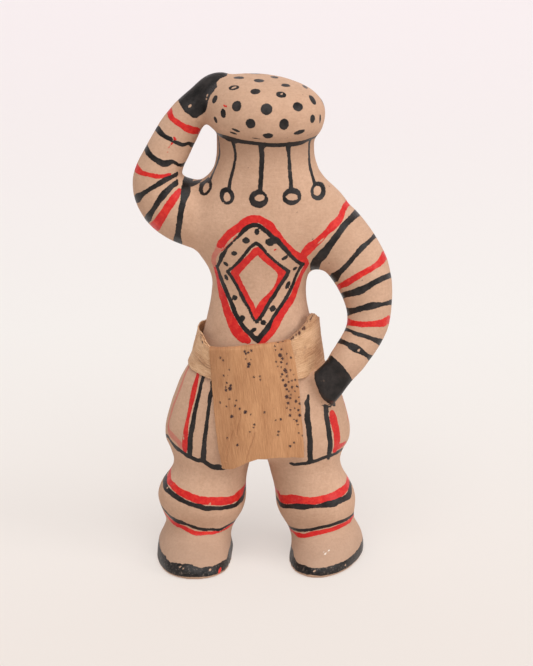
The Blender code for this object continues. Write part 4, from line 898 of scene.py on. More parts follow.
def attribute_of(tree, name):
    return add_node(tree, "ShaderNodeAttribute", attribute_name=name).outputs["Fac"]


def summed(tree, *parts):
    """The sum of some values, each with its factor."""
    total = None
    for value, factor in parts:
        term = math_node(tree, "MULTIPLY", value, factor)
        total = term if total is None else math_node(tree, "ADD", total, term)
    return total


def cells_of(tree, vector, scale):
    """Scattered cells: the distance from each one's middle, and a number of its own."""
    cells = add_node(tree, "ShaderNodeTexVoronoi", Scale=scale, Randomness=1.0)
    tree.links.new(vector, cells.inputs["Vector"])
    number = add_node(tree, "ShaderNodeSeparateColor")
    tree.links.new(cells.outputs["Color"], number.inputs["Color"])
    return cells.outputs["Distance"], number.outputs["Red"]


def toned(colour, factors):
    return tuple(min(1.0, part * factor) for part, factor in zip(colour, factors)) + (1.0,)


def bare_clay(tree, place, clay, blotchy, fine, brushed, wiped):
    """Colour of the fired clay: cloudy and brushed, with painted shade: darker and greyer towards the feet, and
    darker on the neck under the head's brim.
    """
    where = add_node(tree, "ShaderNodeSeparateXYZ")
    tree.links.new(place, where.inputs["Vector"])
    height = where.outputs["Z"]
    cloudy = noise_of(tree, place, 60.0, 4.0, 0.6)
    colour = mixed(
        tree, ranged(tree, cloudy, 0.30, 0.70), toned(clay, (0.90, 0.885, 0.87)), toned(clay, (1.08, 1.09, 1.10)))
    for pattern, low, high, share, factors in (
        (blotchy, 0.45, 0.80, 0.40, (0.80, 0.74, 0.68)),
        (fine, 0.38, 0.72, 0.40, (0.66, 0.62, 0.58)),
        (brushed, 0.52, 0.78, 0.34, (1.18, 1.22, 1.28)),
        (wiped, 0.55, 0.80, 0.25, (0.78, 0.74, 0.70)),
    ):
        colour = mixed(tree, ranged(tree, pattern, low, high, 0.0, share), colour, toned(clay, factors))
    # Painted shade: the clay is darker and greyer towards the feet.
    shade_to_feet = ranged(tree, height, 0.006, 0.021, 0.50, 0.0, smooth=True)
    colour = mixed(tree, shade_to_feet, colour, toned(clay, (0.62, 0.645, 0.68)))
    # Painted shade: the neck is darker just under the head's brim.
    near_brim = ranged(tree, height, 0.146, 0.157, 0.0, 0.42, smooth=True)
    crease = math_node(tree, "MULTIPLY", near_brim, ranged(tree, height, 0.163, 0.159))
    on_neck = ranged(tree, math_node(tree, "ABSOLUTE", where.outputs["X"]), 0.021, 0.018)
    crease = math_node(tree, "MULTIPLY", crease, on_neck)
    colour = mixed(tree, crease, colour, toned(clay, (0.50, 0.44, 0.40)))
    distance, number = cells_of(tree, place, 210.0)
    speck = math_node(
        tree, "MULTIPLY", ranged(tree, distance, 0.085, 0.03), ranged(tree, number, 0.90, 0.92, 0.0, 0.75))
    return mixed(tree, speck, colour, (0.13, 0.055, 0.035, 1.0)), height


def painted_clay(settings):
    material, tree, skin = material_with("painted_clay_finish")
    place = tree.nodes.new("ShaderNodeTexCoord").outputs["Object"]
    blotchy = noise_of(tree, place, 260.0, 4.0, 0.6)
    fine = noise_of(tree, place, 1100.0, 4.0, 0.65)
    brushed = noise_of(tree, place, 1.0, 4.0, 0.65, stretch=(260.0, 260.0, 1900.0))
    wiped = noise_of(tree, place, 1.0, 4.0, 0.65, stretch=(1500.0, 1500.0, 160.0))
    colour, height_above = bare_clay(tree, place, settings.clay_colour[:3], blotchy, fine, brushed, wiped)

    # The brush leaves a ragged edge and thinner places where the clay shows through.
    edge_noise = noise_of(tree, place, 850.0, 4.0, 0.62)
    edge = math_node(tree, "MULTIPLY", math_node(tree, "SUBTRACT", edge_noise, 0.5), 0.66)
    dry = noise_of(tree, place, 420.0, 4.0, 0.7)

    def depth_in(name):
        return math_node(tree, "ADD", attribute_of(tree, name), edge)

    left_bare = ranged(tree, depth_in("bare_clay"), 0.10, -0.06)

    def cover(name, dry_until, thinnest):
        covered = math_node(tree, "MULTIPLY", ranged(tree, depth_in(name), -0.05, 0.07), left_bare)
        return math_node(tree, "MULTIPLY", covered, ranged(tree, dry, 0.26, dry_until, thinnest, 1.0))

    thin = math_node(tree, "MULTIPLY", cover("thin_red_paint", 0.6, 0.6), 0.62)
    red = cover("red_paint", 0.38, 0.86)
    black = cover("black_paint", 0.36, 0.88)
    red_colour = mixed(
        tree, ranged(tree, dry, 0.46, 0.76), tuple(settings.red_colour), (0.78, 0.050, 0.028, 1.0))
    # The black is lighter in blotches: partly uneven paint, partly painted sheen.
    black_colour = mixed(
        tree, ranged(tree, blotchy, 0.42, 0.75), tuple(settings.black_colour), (0.036, 0.028, 0.026, 1.0))
    chipped = math_node(tree, "MULTIPLY", ranged(tree, height_above, 0.008, 0.004),
                        ranged(tree, fine, 0.56, 0.66, 0.0, 0.55))
    black_colour = mixed(tree, chipped, black_colour, (0.20, 0.15, 0.12, 1.0))
    fleck = ranged(tree, depth_in("pale_fleck"), -0.05, 0.10, 0.0, 0.8)
    for share, paint in (
        (fleck, (0.88, 0.82, 0.74, 1.0)), (thin, (0.60, 0.085, 0.080, 1.0)), (red, red_colour), (black, black_colour),
    ):
        colour = mixed(tree, share, colour, paint)
    tree.links.new(colour, skin.inputs["Base Color"])

    painted = math_node(tree, "MAXIMUM", red, black)
    rough = add_node(tree, "ShaderNodeMix", data_type="FLOAT")
    tree.links.new(painted, rough.inputs[0])
    rough.inputs[2].default_value = 0.85
    tree.links.new(ranged(tree, blotchy, 0.35, 0.70, 0.30, 0.58), rough.inputs[3])
    tree.links.new(rough.outputs[0], skin.inputs["Roughness"])
    skin.inputs["Specular IOR Level"].default_value = 0.30

    pit = ranged(tree, cells_of(tree, place, 700.0)[0], 0.05, 0.22)
    bump = add_node(tree, "ShaderNodeBump", Strength=0.75, Distance=0.00018)
    tree.links.new(
        summed(tree, (fine, 0.8), (brushed, 0.6), (wiped, 0.3), (pit, 0.35), (painted, 0.6), (blotchy, 0.8)),
        bump.inputs["Height"])
    tree.links.new(bump.outputs["Normal"], skin.inputs["Normal"])
    return material


def bark_finish(settings, name, pale_share, speck_amount, cross_grain):
    """Bark: fine grain along the strip's length, dark specks, brown stains and a red smear."""
    material, tree, skin = material_with(name)
    uv = add_node(tree, "ShaderNodeUVMap", uv_map="strip_mm").outputs["UV"]
    light, dark = tuple(settings.light_colour), tuple(settings.dark_colour)
    long_grain = noise_of(tree, uv, 1.0, 5.0, 0.65, stretch=(3.2, 0.16, 1.0))
    fine_grain = noise_of(tree, uv, 1.0, 3.0, 0.6, stretch=(9.0, 0.6, 1.0))
    patches = noise_of(tree, uv, 1.0, 3.0, 0.5, stretch=(0.16, 0.05, 1.0))
    across = noise_of(tree, uv, 1.0, 3.0, 0.6, stretch=(0.8, 5.5, 1.0))

    share = summed(tree, (long_grain, 0.50), (fine_grain, 0.22), (patches, 0.38), (across, cross_grain))
    tone = ranged(tree, share, 0.40 + cross_grain * 0.5, 0.66 + cross_grain * 0.5)
    colour = mixed(tree, tone, dark, light)
    pale = toned(light, (1.43, 2.10, 3.10))
    colour = mixed(tree, math_node(tree, "MULTIPLY", tone, pale_share), colour, pale)

    distance, number = cells_of(tree, uv, 1.35)
    chosen = ranged(tree, number, 1.0 - speck_amount, 1.0 - speck_amount + 0.01)
    spot = math_node(tree, "MULTIPLY", math_node(tree, "MULTIPLY", ranged(tree, distance, 0.24, 0.12), chosen), 0.8)
    ragged = noise_of(tree, uv, 1.0, 4.0, 0.70, stretch=(3.4, 3.4, 1.0))
    ragged = math_node(tree, "MULTIPLY", math_node(tree, "SUBTRACT", ragged, 0.5), 1.7)
    marked = ranged(tree, math_node(tree, "ADD", attribute_of(tree, "dark_specks"), ragged), -0.08, 0.10)
    spot = math_node(tree, "MAXIMUM", spot, marked)
    for amount, mark in (
        (spot, (0.040, 0.020, 0.022, 1.0)),
        (ranged(tree, attribute_of(tree, "brown_stain"), 0.0, 1.0, 0.0, 0.75), (0.20, 0.070, 0.035, 1.0)),
        (ranged(tree, attribute_of(tree, "red_smear"), 0.0, 0.25), (0.68, 0.05, 0.04, 1.0)),
    ):
        colour = mixed(tree, amount, colour, mark)
    tree.links.new(colour, skin.inputs["Base Color"])
    tree.links.new(ranged(tree, fine_grain, 0.3, 0.7, 0.62, 0.80), skin.inputs["Roughness"])
    skin.inputs["Specular IOR Level"].default_value = 0.35

    bump = add_node(tree, "ShaderNodeBump", Strength=0.7, Distance=0.00022)
    tree.links.new(
        summed(tree, (long_grain, 0.6), (fine_grain, 0.6), (across, cross_grain * 2.0), (spot, -0.5)),
        bump.inputs["Height"])
    tree.links.new(bump.outputs["Normal"], skin.inputs["Normal"])
    return material


def stage_paper(settings):
    """Pale paper that glows a little of itself: painted light that lightens the shadows on it."""
    material, tree, skin = material_with("pale_sweep_paper")
    place = add_node(tree, "ShaderNodeSeparateXYZ")
    tree.links.new(tree.nodes.new("ShaderNodeTexCoord").outputs["Object"], place.inputs["Vector"])
    ramp = tree.nodes.new("ShaderNodeValToRGB")
    near, far, middle = PAPER_BLEND
    stops = ((0.0, settings.near_colour), (middle, settings.middle_colour), (1.0, settings.far_colour))
    ramp.color_ramp.elements.new(middle)
    for element, (at, colour) in zip(ramp.color_ramp.elements, stops):
        element.position, element.color = at, tuple(colour)
    tree.links.new(ranged(tree, place.outputs["Y"], near, far), ramp.inputs["Fac"])
    lit = (1.0 - settings.glow,) * 3 + (1.0,)
    tree.links.new(mixed(tree, 1.0, ramp.outputs["Color"], lit, "MULTIPLY"), skin.inputs["Base Color"])
    tree.links.new(ramp.outputs["Color"], skin.inputs["Emission Color"])
    skin.inputs["Emission Strength"].default_value = settings.glow * FULL_GLOW
    skin.inputs["Roughness"].default_value = 0.9
    skin.inputs["Specular IOR Level"].default_value = 0.1
    return material


# ---------------------------------------------------------------- clay


def model_doll(settings):
    """The clay figure: a finer skin on the CAD form, with the maker's dents."""
    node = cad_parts["clay_figure"]
    doll = bpy.data.objects.new("painted_clay_doll", node.data.copy())
    bpy.context.scene.collection.objects.link(doll)
    doll.data.materials.clear()
    only(doll)
    bpy.ops.object.mode_set(mode="EDIT")
    bpy.ops.mesh.select_all(action="SELECT")
    bpy.ops.mesh.remove_doubles(threshold=1e-6)
    bpy.ops.object.mode_set(mode="OBJECT")
    apply_modifier(doll, "rounder", "SUBSURF", levels=1, render_levels=1)
    apply_modifier(doll, "skin", "REMESH", mode="VOXEL", voxel_size=settings.skin_step)
    apply_modifier(doll, "wiped", "SMOOTH", factor=0.5, iterations=5)

    places = place_of_vertices(doll)
    normals = normals_of_vertices(doll)
    dents = np.array([
        0.6 * wander(place / MM, 13.0, 1.0) + 0.35 * wander(place / MM, 5.0, 4.0)
        + 0.10 * wander(place / MM, 1.8, 8.0)
        for place in places
    ])
    for middle, reach, way in FOOT_TUCKS:
        far = np.linalg.norm((places / MM - middle) * (1.0, 0.45, 1.0), axis=1) / reach
        places = places + np.clip(1.0 - far ** 2, 0.0, 1.0)[:, None] ** 2 * np.array(way) * MM
    above_sole = np.clip(places[:, 2] / (1.5 * MM), 0.0, 1.0)
    places = places + normals * (dents * settings.dent_depth * above_sole)[:, None]
    places[:, 2] = np.maximum(places[:, 2], 0.0)
    move_vertices(doll, places)
    only(doll)
    bpy.ops.object.shade_smooth()
    return doll


# ---------------------------------------------------------------- bark


def strip_grid(name, columns, rows):
    """A flat grid to be laid as a strip; its vertices come row by row, across first."""
    bpy.ops.object.select_all(action="DESELECT")
    bpy.ops.mesh.primitive_grid_add(x_subdivisions=columns - 1, y_subdivisions=rows - 1, size=1.0,
                                    calc_uvs=False, location=(0.0, 0.0, 0.0))
    strip = bpy.context.object
    strip.name = name
    flat = place_of_vertices(strip)
    order = np.lexsort((np.round(flat[:, 0], 6), np.round(flat[:, 1], 6)))
    return strip, order


def give_strip_uv(strip, flat_mm):
    """The strip's own map: millimetres of the flat strip, the second number along the grain."""
    layer = strip.data.uv_layers.new(name="strip_mm")
    corners = np.empty(len(strip.data.loops), dtype=np.int32)
    strip.data.loops.foreach_get("vertex_index", corners)
    layer.data.foreach_set("uv", np.ascontiguousarray(flat_mm[corners], dtype=np.float32).ravel())


def outward_face(strip, out):
    """Turns the strip's faces so that they look the way that out gives, before it gets its thickness."""
    middle = strip.data.polygons[len(strip.data.polygons) // 2]
    if middle.normal.dot(Vector(out(middle.center))) < 0.0:
        only(strip)
        bpy.ops.object.mode_set(mode="EDIT")
        bpy.ops.mesh.select_all(action="SELECT")
        bpy.ops.mesh.flip_normals()
        bpy.ops.object.mode_set(mode="OBJECT")


def band_edges(degrees, table=BAND_EDGES):
    closed = [(table[i][0] - 360.0, *table[i][1:]) for i in (-2, -1)]
    closed += list(table) + [(table[i][0] + 360.0, *table[i][1:]) for i in (0, 1)]
    return smooth_between(closed, (np.asarray(degrees, float) + 90.0) % 360.0 - 90.0)


def band_radius_table(tree):
    """The CAD band's outside: its distance from the axis on a grid of angle and share of its height."""
    angles = np.arange(0.0, 360.0, 1.5)
    shares = np.linspace(0.06, 0.94, 12)
    radii = np.full((len(angles), len(shares)), np.nan)
    edges = band_edges(angles, CAD_BAND_EDGES)
    for i, angle in enumerate(np.radians(angles)):
        way = Vector((math.cos(angle), math.sin(angle), 0.0))
        for j, share in enumerate(shares):
            z = edges[i, 0] + (edges[i, 1] - edges[i, 0]) * share
            hit = tree.ray_cast(Vector((*BAND_AXIS, z)) + way * 70.0, -way)[0]
            if hit is not None:
                radii[i, j] = math.hypot(hit.x - BAND_AXIS[0], hit.y - BAND_AXIS[1])
    for j in range(len(shares)):
        known = ~np.isnan(radii[:, j])
        radii[:, j] = np.interp(angles, angles[known], radii[known, j], period=360.0)
    return angles, shares, radii


def cad_band_radius(table, degrees, z):
    """The CAD band's outer radius at each angle and height, carried straight on past its edges."""
    angles, shares, radii = table
    angles = np.append(angles, 360.0)
    radii = np.vstack([radii, radii[:1]])
    column = np.interp(degrees % 360.0, angles, np.arange(len(angles)))
    i = np.clip(column.astype(int), 0, len(angles) - 2)
    t = column - i
    low, high = band_edges(degrees, CAD_BAND_EDGES).T
    share = np.clip((z - low) / (high - low), -0.12, 1.12)
    row = np.interp(np.clip(share, shares[0], shares[-1]), shares, np.arange(len(shares)))
    j = np.clip(row.astype(int), 0, len(shares) - 2)
    s = row - j
    radius = (
        (radii[i, j] * (1 - t) + radii[i + 1, j] * t) * (1 - s)
        + (radii[i, j + 1] * (1 - t) + radii[i + 1, j + 1] * t) * s
    )
    above, below = np.maximum(share - shares[-1], 0.0), np.maximum(shares[0] - share, 0.0)
    radius = radius + above * (radii[i, -1] - radii[i, -2]) / (shares[-1] - shares[-2])
    return radius - below * (radii[i, 1] - radii[i, 0]) / (shares[1] - shares[0])


def band_strip(name, table, grid, turns, low, high, lift, grain_depth, rings):
    """One layer of the band between two angles; low and high are its edges as shares of the band's height.

    Gives the strip, and the degrees and the share of the band's height at each of its vertices.
    """
    (columns, rows), (first, last) = grid, turns
    strip, order = strip_grid(name, columns, rows)
    along_share, up_share = (
        each.ravel() for each in np.meshgrid(np.linspace(0.0, 1.0, columns), np.linspace(0.0, 1.0, rows)))
    degrees = first + (last - first) * along_share
    low_edge = np.interp(along_share, np.linspace(0.0, 1.0, len(low)), low)
    high_edge = np.interp(along_share, np.linspace(0.0, 1.0, len(high)), high)
    share = low_edge + (high_edge - low_edge) * up_share
    bottom, top = band_edges(degrees).T
    z = bottom + (top - bottom) * share
    length, height = np.radians(degrees - first) * (BAND_RADIUS - 1.0), z - bottom

    radius = cad_band_radius(table, degrees, z) + lift
    lean_at, lean_spread, lean = RIM_LEAN
    radius -= lean * np.clip((share - 0.55) / 0.45, 0.0, 1.0) * np.exp(
        -((degrees % 360.0 - lean_at) / lean_spread) ** 2)
    grain = rippled(length, height, (0.6, 0.10, 1.5, 3.0 + lift), (0.5, 0.5, 3.6, 7.0 + lift))
    bent = rippled(length, height, (0.12, 0.16, 0.16, 11.0 + lift))
    radius += grain * grain_depth / MM * 1.6 + bent
    for at_degrees, at_share, size, rise in rings:
        far = np.hypot(np.radians(degrees - at_degrees) * BAND_RADIUS, (share - at_share) * (BAND_HEIGHT - 0.5))
        radius += rise * np.exp(-((far - size) / 0.28) ** 2)

    ragged = np.array([
        0.30 * noise.noise(Vector((l * 0.35, 5.0 + lift, seed))) + 0.26 * noise.noise(Vector((l * 1.3, 9.0, seed)))
        for l, seed in zip(length, np.where(up_share > 0.5, 1.0, 20.0))
    ])
    torn_tip = 0.8 * np.exp(-((degrees + 30.0) / 1.1) ** 2) * (up_share > 0.5)
    near_edge = np.minimum(up_share, 1.0 - up_share)
    z = z + (ragged + torn_tip) * np.clip(1.0 - near_edge * 5.0, 0.0, 1.0)

    angle = np.radians(degrees)
    places, flat, where = (np.empty((len(z), wide)) for wide in (3, 2, 2))
    places[order] = np.stack([
        BAND_AXIS[0] + radius * np.cos(angle), BAND_AXIS[1] + radius * np.sin(angle), z], axis=1) * MM
    flat[order] = np.stack([height, length], axis=1)
    where[order] = np.stack([degrees, share], axis=1)
    move_vertices(strip, places)
    give_strip_uv(strip, flat)
    outward_face(strip, lambda at: (at.x - BAND_AXIS[0] * MM, at.y - BAND_AXIS[1] * MM, 0.0))
    return strip, where


def blots(flat, marks, squeeze=1.0):
    """How far inside the nearest blot (x, y, radius) each place of the flat strip is, in millimetres."""
    depth = np.full(len(flat), -2.0)
    for at_x, at_y, radius in marks:
        depth = np.maximum(depth, radius - np.hypot(flat[:, 0] - at_x, (flat[:, 1] - at_y) * squeeze))
    return depth


def mark_strip(strip, dark_specks, brown_stain, red_smear=-1.0):
    for name, values in (("dark_specks", dark_specks), ("brown_stain", brown_stain), ("red_smear", red_smear)):
        give_attribute(strip, name, np.broadcast_to(values, len(strip.data.vertices)))


def finish_strip(strip, thickness, bark):
    strip.data.materials.append(bark)
    apply_modifier(strip, "thickness", "SOLIDIFY", thickness=thickness, offset=0.0)
    apply_modifier(strip, "worn_edge", "BEVEL", width=thickness * 0.22, segments=2, limit_method="ANGLE",
                   angle_limit=math.radians(50.0))
    only(strip)
    bpy.ops.object.shade_smooth()
    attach(strip, "root")


def model_band(settings):
    """The waistband: one strip of bark round the hips and the end that overlaps it at the doll's right."""
    table = band_radius_table(tree_of(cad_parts["bark_waistband"]))
    bark = bark_finish(settings, "band_bark", 0.75, 0.03, 0.30)
    half = settings.band_thickness / MM / 2.0

    band, where = band_strip(
        "bark_waistband_strip", table, (420, 44), (-97.0, 262.0), (0.0, 0.0), (1.0, 1.0), -half - 0.15,
        settings.grain_depth, BAND_RINGS,
    )
    degrees, share = where.T
    bottom, top = band_edges(degrees).T
    height = bottom + (top - bottom) * share
    flat = np.stack([np.radians(degrees) * BAND_RADIUS, height], axis=1)

    def on_band(rows, growth=1.0):
        return [(math.radians(turn) * BAND_RADIUS, band_edges(turn)[1] - depth, radius * growth)
                for turn, depth, radius in rows]

    stains = blots(flat, on_band(BAND_SPECKS, 2.2) + on_band(BAND_STAINS)) * 0.5
    worn_edge = np.where((degrees > -72.0) & (degrees < -17.0), 0.70 - (top - height) * 0.50, 0.0)
    # Painted shade: a brown line on the band just under the overlapping end's lower edge.
    shade_under_end = np.where((degrees > 205.0) & (degrees < 230.0), 1.0 - np.abs(share - 0.345) * 18.0, 0.0)
    brown = np.clip(np.max([stains, worn_edge, shade_under_end], axis=0), 0.0, 0.7)
    mark_strip(band, blots(flat, on_band(BAND_SPECKS)), brown)
    finish_strip(band, settings.band_thickness, bark)

    end, where = band_strip(
        "bark_waistband_end", table, (110, 34), (196.0, 262.0), (0.42, 0.36, 0.30, 0.26),
        (0.96, 0.985, 0.99, 0.985), half - 0.08, settings.grain_depth, END_RINGS,
    )
    degrees, share = where.T
    flat = np.stack([np.radians(degrees) * BAND_RADIUS, share * BAND_HEIGHT], axis=1)
    holes = [(math.radians(turn) * BAND_RADIUS, at * BAND_HEIGHT, radius) for turn, at, radius in END_HOLES]
    # A brown line near the end's lower rim: partly a slit in the bark, partly painted shade of the rim.
    slit_and_rim_shade = 0.8 - np.abs(share - 0.455 + (degrees - 210.0) * 0.004) * 22.0
    brown = np.clip(np.where((degrees > 208.0) & (degrees < 226.0), slit_and_rim_shade, 0.0), 0.0, 0.45)
    mark_strip(end, blots(flat, holes), brown)
    finish_strip(end, settings.band_thickness * 0.7, bark)

    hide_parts("bark_waistband")


def apron_side(side, z):
    return smooth_between([(height, x) for x, height in reversed(side)], np.array([z]))[0, 0]


def apron_lines(tree, half, rows):
    """Lines of points down the apron, each from behind the band, over its edge and down the front to the hem.

    Gives each line's share of the width, and the points, for an apron of this half thickness.
    """
    forward, backward = Vector((0.0, 1.0, 0.0)), Vector((0.0, -1.0, 0.0))

    def face_at(x, z):
        """The CAD apron's front at x and z, or at the nearest place inside its outline."""
        for step in range(16):
            share = step * 0.02
            at = Vector((x + (-1.5 - x) * share, -90.0, z + (62.0 - z) * share))
            hit = tree.ray_cast(at, forward)[0]
            if hit is not None:
                return hit.y
        raise RuntimeError("the apron has no front at " + str((x, z)))

    top_left, top_right = apron_side(APRON_LEFT, 84.0), apron_side(APRON_RIGHT, 86.0)
    shares = np.linspace(0.0, 1.0, 31)
    lines = []
    for across in shares:
        x_top = top_left + (top_right - top_left) * across
        probe = min(max(x_top, top_left + 0.3), top_right - 0.3)
        fold = next(z for z in np.arange(95.0, 70.0, -0.05)
                    if tree.ray_cast(Vector((probe, -90.0, z)), forward)[0] is not None)
        fold -= FOLD_DROP[0] + (FOLD_DROP[1] - FOLD_DROP[0]) * across
        y_out = face_at(probe, fold - 0.9)
        inside = tree.ray_cast(Vector((probe, 2.0, fold - 1.4)), backward)[0]
        y_in = inside.y if inside is not None else y_out + 2.4
        rise = smooth_between(APRON_HEM, np.array([across]))[0, 0]
        hem = APRON_LEFT[-1][1] + (APRON_RIGHT[-1][1] - APRON_LEFT[-1][1]) * across + rise
        points = [(x_top, y, z) for y, z in (
            (y_in - half, fold - 2.5), (y_in - half, fold - 1.2), (y_in - half - 0.12, fold - 0.72),
            ((y_in + y_out) / 2.0, fold - 0.42), (y_out + half + 0.12, fold - 0.72), (y_out + half, fold - 1.2))]
        for z in np.linspace(fold - 1.8, hem, 60):
            left, right = apron_side(APRON_LEFT, z), apron_side(APRON_RIGHT, z)
            x = left + (right - left) * across
            points.append((x, face_at(x, z) + half, z))
        line = along(points, 0.1)
        lines.append(line[np.linspace(0, len(line) - 1, rows).round().astype(int)])
    return shares, np.array(lines)


def model_apron(settings):
    """The apron: a straight piece of bark folded over the band's upper edge."""
    columns, rows = 150, 214
    width, height = APRON_SIZE
    shares, lines = apron_lines(tree_of(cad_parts["bark_apron"]), settings.apron_thickness / MM / 2.0, rows)
    fine = np.linspace(0.0, 1.0, columns)
    laid = np.empty((rows, columns, 3))
    for row in range(rows):
        laid[row] = smooth_between(np.column_stack([shares, lines[:, row]]), fine)
    for _ in range(3):
        laid[8:-1, 1:-1, 1] = (
            laid[8:-1, 1:-1, 1] * 2 + laid[7:-2, 1:-1, 1] + laid[9:, 1:-1, 1]
            + laid[8:-1, :-2, 1] + laid[8:-1, 2:, 1]) / 6.0
    down = np.concatenate([[0.0], np.cumsum(np.linalg.norm(np.diff(laid[:, columns // 2], axis=0), axis=1))])
    lip = down[laid[:, columns // 2, 2].argmax()] + 0.1
    share_down = (down - lip) / (down[-1] - lip)
    across_mm, down_mm = (each.ravel() for each in np.meshgrid(fine * width, down))
    across, downward = (each.ravel() for each in np.meshgrid(fine, share_down))

    grain = rippled(across_mm, down_mm, (0.7, 1.1, 0.05, 2.0), (0.5, 2.9, 0.12, 5.0))
    relief = grain * settings.grain_depth / MM * 1.5 + rippled(across_mm, down_mm, (0.10, 0.11, 0.08, 8.0))
    crease_shade = np.zeros(rows * columns)
    for crease in APRON_CREASES:
        trail = along([(a * width, d * height) for a, d in crease], 0.5)
        far = np.min([np.hypot(across * width - a, downward * height - d) for a, d in trail], axis=0)
        relief = relief - 0.18 * np.exp(-(far / 0.35) ** 2) + 0.07 * np.exp(-((far - 0.7) / 0.4) ** 2)
        # Painted shade: a darker line along each crease.
        crease_shade = np.maximum(crease_shade, 0.34 * np.exp(-(far / 0.38) ** 2))
    past_fold = np.clip((np.arange(rows) - 12.0) / 10.0, 0.0, 1.0)
    laid[:, :, 1] -= relief.reshape(rows, columns) * past_fold[:, None]
    at_side = np.clip(1.0 - np.minimum(fine, 1.0 - fine) * 12.0, 0.0, 1.0)
    ragged_side = np.array([0.16 * noise.noise(Vector((d * 0.30, 1.0, 1.0))) + 0.10 * noise.noise(
        Vector((d * 1.5, 2.0, 1.0))) for d in down])
    laid[:, :, 0] += ragged_side[:, None] * at_side
    at_hem = np.clip((share_down - 0.9) * 10.0, 0.0, 1.0)
    ragged_hem = np.array([0.22 * noise.noise(Vector((a * 12.0, 3.0, 1.0))) + 0.14 * noise.noise(
        Vector((a * 60.0, 4.0, 1.0))) for a in fine])
    laid[:, :, 2] += at_hem[:, None] * ragged_hem

    strip, order = strip_grid("bark_apron_strip", columns, rows)
    in_order = np.empty_like(order)
    in_order[order] = np.arange(len(order))
    move_vertices(strip, laid.reshape(-1, 3)[in_order] * MM)
    give_strip_uv(strip, np.stack([across_mm, down_mm], axis=1)[in_order])
    outward_face(strip, lambda at: (0.0, -1.0, 0.0))
    across, downward = across[in_order], downward[in_order]

    # The bark is browner under the row of specks and along the doll's right side; the darker lines in its creases are
    # painted shade.
    specks = blots(np.stack([across * width, downward * height], axis=1),
                   [(a * width, d * height, radius * 1.12) for a, d, radius in APRON_SPECKS], 0.85)
    row_of_specks = 0.32 * np.clip(1.0 - np.abs(across - 0.89) / 0.09, 0.0, 1.0) * np.clip(
        (0.74 - downward) * 6.0, 0.0, 1.0)
    darker_side = 0.26 * np.clip(1.0 - across / 0.34, 0.0, 1.0)
    smear = np.minimum(0.5 - np.abs(downward + 0.004) * height, np.max(
        [half_width - np.abs(across * width - middle) for middle, half_width in APRON_SMEAR], axis=0))
    mark_strip(strip, specks, np.max([row_of_specks, darker_side, crease_shade[in_order]], axis=0), smear)
    finish_strip(strip, settings.apron_thickness, bark_finish(settings, "apron_bark", 0.15, 0.015, 0.02))
    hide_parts("bark_apron")


# ---------------------------------------------------------------- operators


class CLAYDOLL_OT_doll(Operator):
    """Model the clay figure and paint it"""

    bl_idname = "claydoll.doll"
    bl_label = "Clay figure"

    def execute(self, context):
        doll = model_doll(context.scene.clay_doll)
        paint_doll(doll)
        doll.data.materials.append(painted_clay(context.scene.clay_doll))
        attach(doll, "root")
        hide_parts("clay_figure")
        return {"FINISHED"}


class CLAYDOLL_OT_waistband(Operator):
    """Lay the bark waistband round the hips"""

    bl_idname = "claydoll.waistband"
    bl_label = "Bark waistband"

    def execute(self, context):
        model_band(context.scene.clay_doll_bark)
        return {"FINISHED"}


class CLAYDOLL_OT_apron(Operator):
    """Fold the bark apron over the waistband"""

    bl_idname = "claydoll.apron"
    bl_label = "Bark apron"

    def execute(self, context):
        model_apron(context.scene.clay_doll_bark)
        return {"FINISHED"}


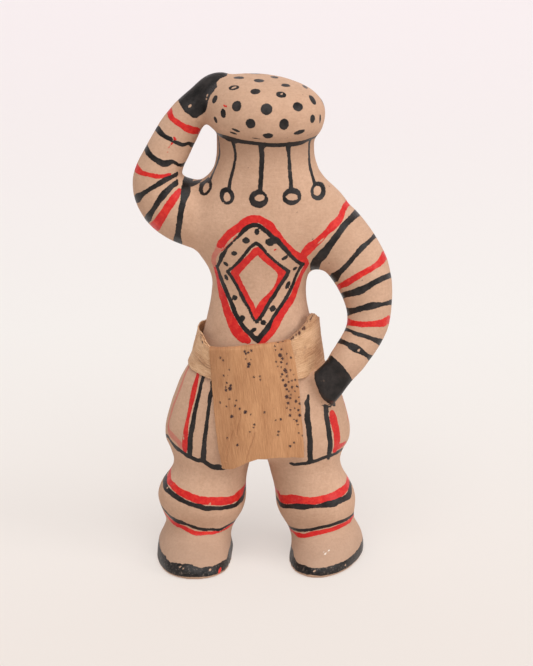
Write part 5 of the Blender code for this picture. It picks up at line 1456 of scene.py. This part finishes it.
class CLAYDOLL_OT_stage(Operator):
    """Set the pale floor, the soft light and the camera"""

    bl_idname = "claydoll.stage"
    bl_label = "Stage, light and camera"

    def execute(self, context):
        settings = context.scene.clay_doll_stage
        bpy.ops.object.select_all(action="DESELECT")
        bpy.ops.mesh.primitive_grid_add(x_subdivisions=2, y_subdivisions=60, size=1.0, location=(0.0, 0.0, 0.0))
        paper = bpy.context.object
        paper.name = "pale_sweep"
        flat = place_of_vertices(paper)
        run = (flat[:, 1] + 0.5) * PAPER_LENGTH
        turn = np.clip((run - PAPER_LEVEL) / PAPER_BEND, 0.0, math.pi / 2.0)
        beyond = np.maximum(run - PAPER_LEVEL - PAPER_BEND * math.pi / 2.0, 0.0)
        y = PAPER_START + np.minimum(run, PAPER_LEVEL) + PAPER_BEND * np.sin(turn)
        z = PAPER_BEND * (1.0 - np.cos(turn)) + beyond
        move_vertices(paper, np.stack([flat[:, 0] * PAPER_WIDTH, y, z], axis=1))
        only(paper)
        bpy.ops.object.shade_smooth()
        paper.data.materials.append(stage_paper(settings))

        scene = context.scene
        scene.view_settings.view_transform = "Standard"
        scene.view_settings.look = "None"
        scene.world = bpy.data.worlds.new("even_room_light")
        scene.world.use_nodes = True
        sky = scene.world.node_tree.nodes["Background"]
        sky.inputs["Color"].default_value = (1.0, 1.0, 1.0, 1.0)
        sky.inputs["Strength"].default_value = settings.sky_strength

        def soft_light(name, place, size, power):
            lamp = bpy.data.lights.new(name, "AREA")
            lamp.shape, lamp.size, lamp.energy = "DISK", size, power
            stand = bpy.data.objects.new(name, lamp)
            scene.collection.objects.link(stand)
            stand.location = place
            aim = Vector(LIGHT_AIM) - Vector(place)
            stand.rotation_euler = aim.to_track_quat("-Z", "Y").to_euler()

        soft_light("key", *KEY_LIGHT, settings.key_power)
        soft_light("side", *SIDE_LIGHT, settings.side_power)

        camera_data = bpy.data.cameras.new("camera")
        camera_data.lens, camera_data.sensor_width = CAMERA_LENS, 36.0
        camera_data.clip_start, camera_data.clip_end = 0.05, 50.0
        camera = bpy.data.objects.new("camera", camera_data)
        scene.collection.objects.link(camera)
        camera.location = CAMERA_PLACE
        camera.rotation_euler = (math.radians(CAMERA_PITCH), 0.0, 0.0)
        scene.camera = camera
        return {"FINISHED"}


OPERATORS = (CLAYDOLL_OT_doll, CLAYDOLL_OT_waistband, CLAYDOLL_OT_apron, CLAYDOLL_OT_stage)


class CLAYDOLL_PT_panel(Panel):
    """Lists the doll's pieces and their settings"""

    bl_idname = "CLAYDOLL_PT_panel"
    bl_label = "Painted Clay Doll"
    bl_space_type = "VIEW_3D"
    bl_region_type = "UI"
    bl_category = "Clay Doll"

    def draw(self, context):
        for operator in OPERATORS:
            self.layout.operator(operator.bl_idname)
        for name in ("clay_doll", "clay_doll_bark", "clay_doll_stage"):
            settings = getattr(context.scene, name)
            box = self.layout.box()
            for key in settings.__annotations__:
                box.prop(settings, key)


CLASSES = (ClaySettings, BarkSettings, StageSettings, *OPERATORS, CLAYDOLL_PT_panel)


def register():
    for each in CLASSES:
        bpy.utils.register_class(each)
    bpy.types.Scene.clay_doll = PointerProperty(type=ClaySettings)
    bpy.types.Scene.clay_doll_bark = PointerProperty(type=BarkSettings)
    bpy.types.Scene.clay_doll_stage = PointerProperty(type=StageSettings)


def unregister():
    del bpy.types.Scene.clay_doll_stage
    del bpy.types.Scene.clay_doll_bark
    del bpy.types.Scene.clay_doll
    for each in reversed(CLASSES):
        bpy.utils.unregister_class(each)


def main():
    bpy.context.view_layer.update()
    register()
    bpy.ops.claydoll.stage()
    bpy.ops.claydoll.doll()
    bpy.ops.claydoll.waistband()
    bpy.ops.claydoll.apron()


if __name__ == "__main__":
    main()
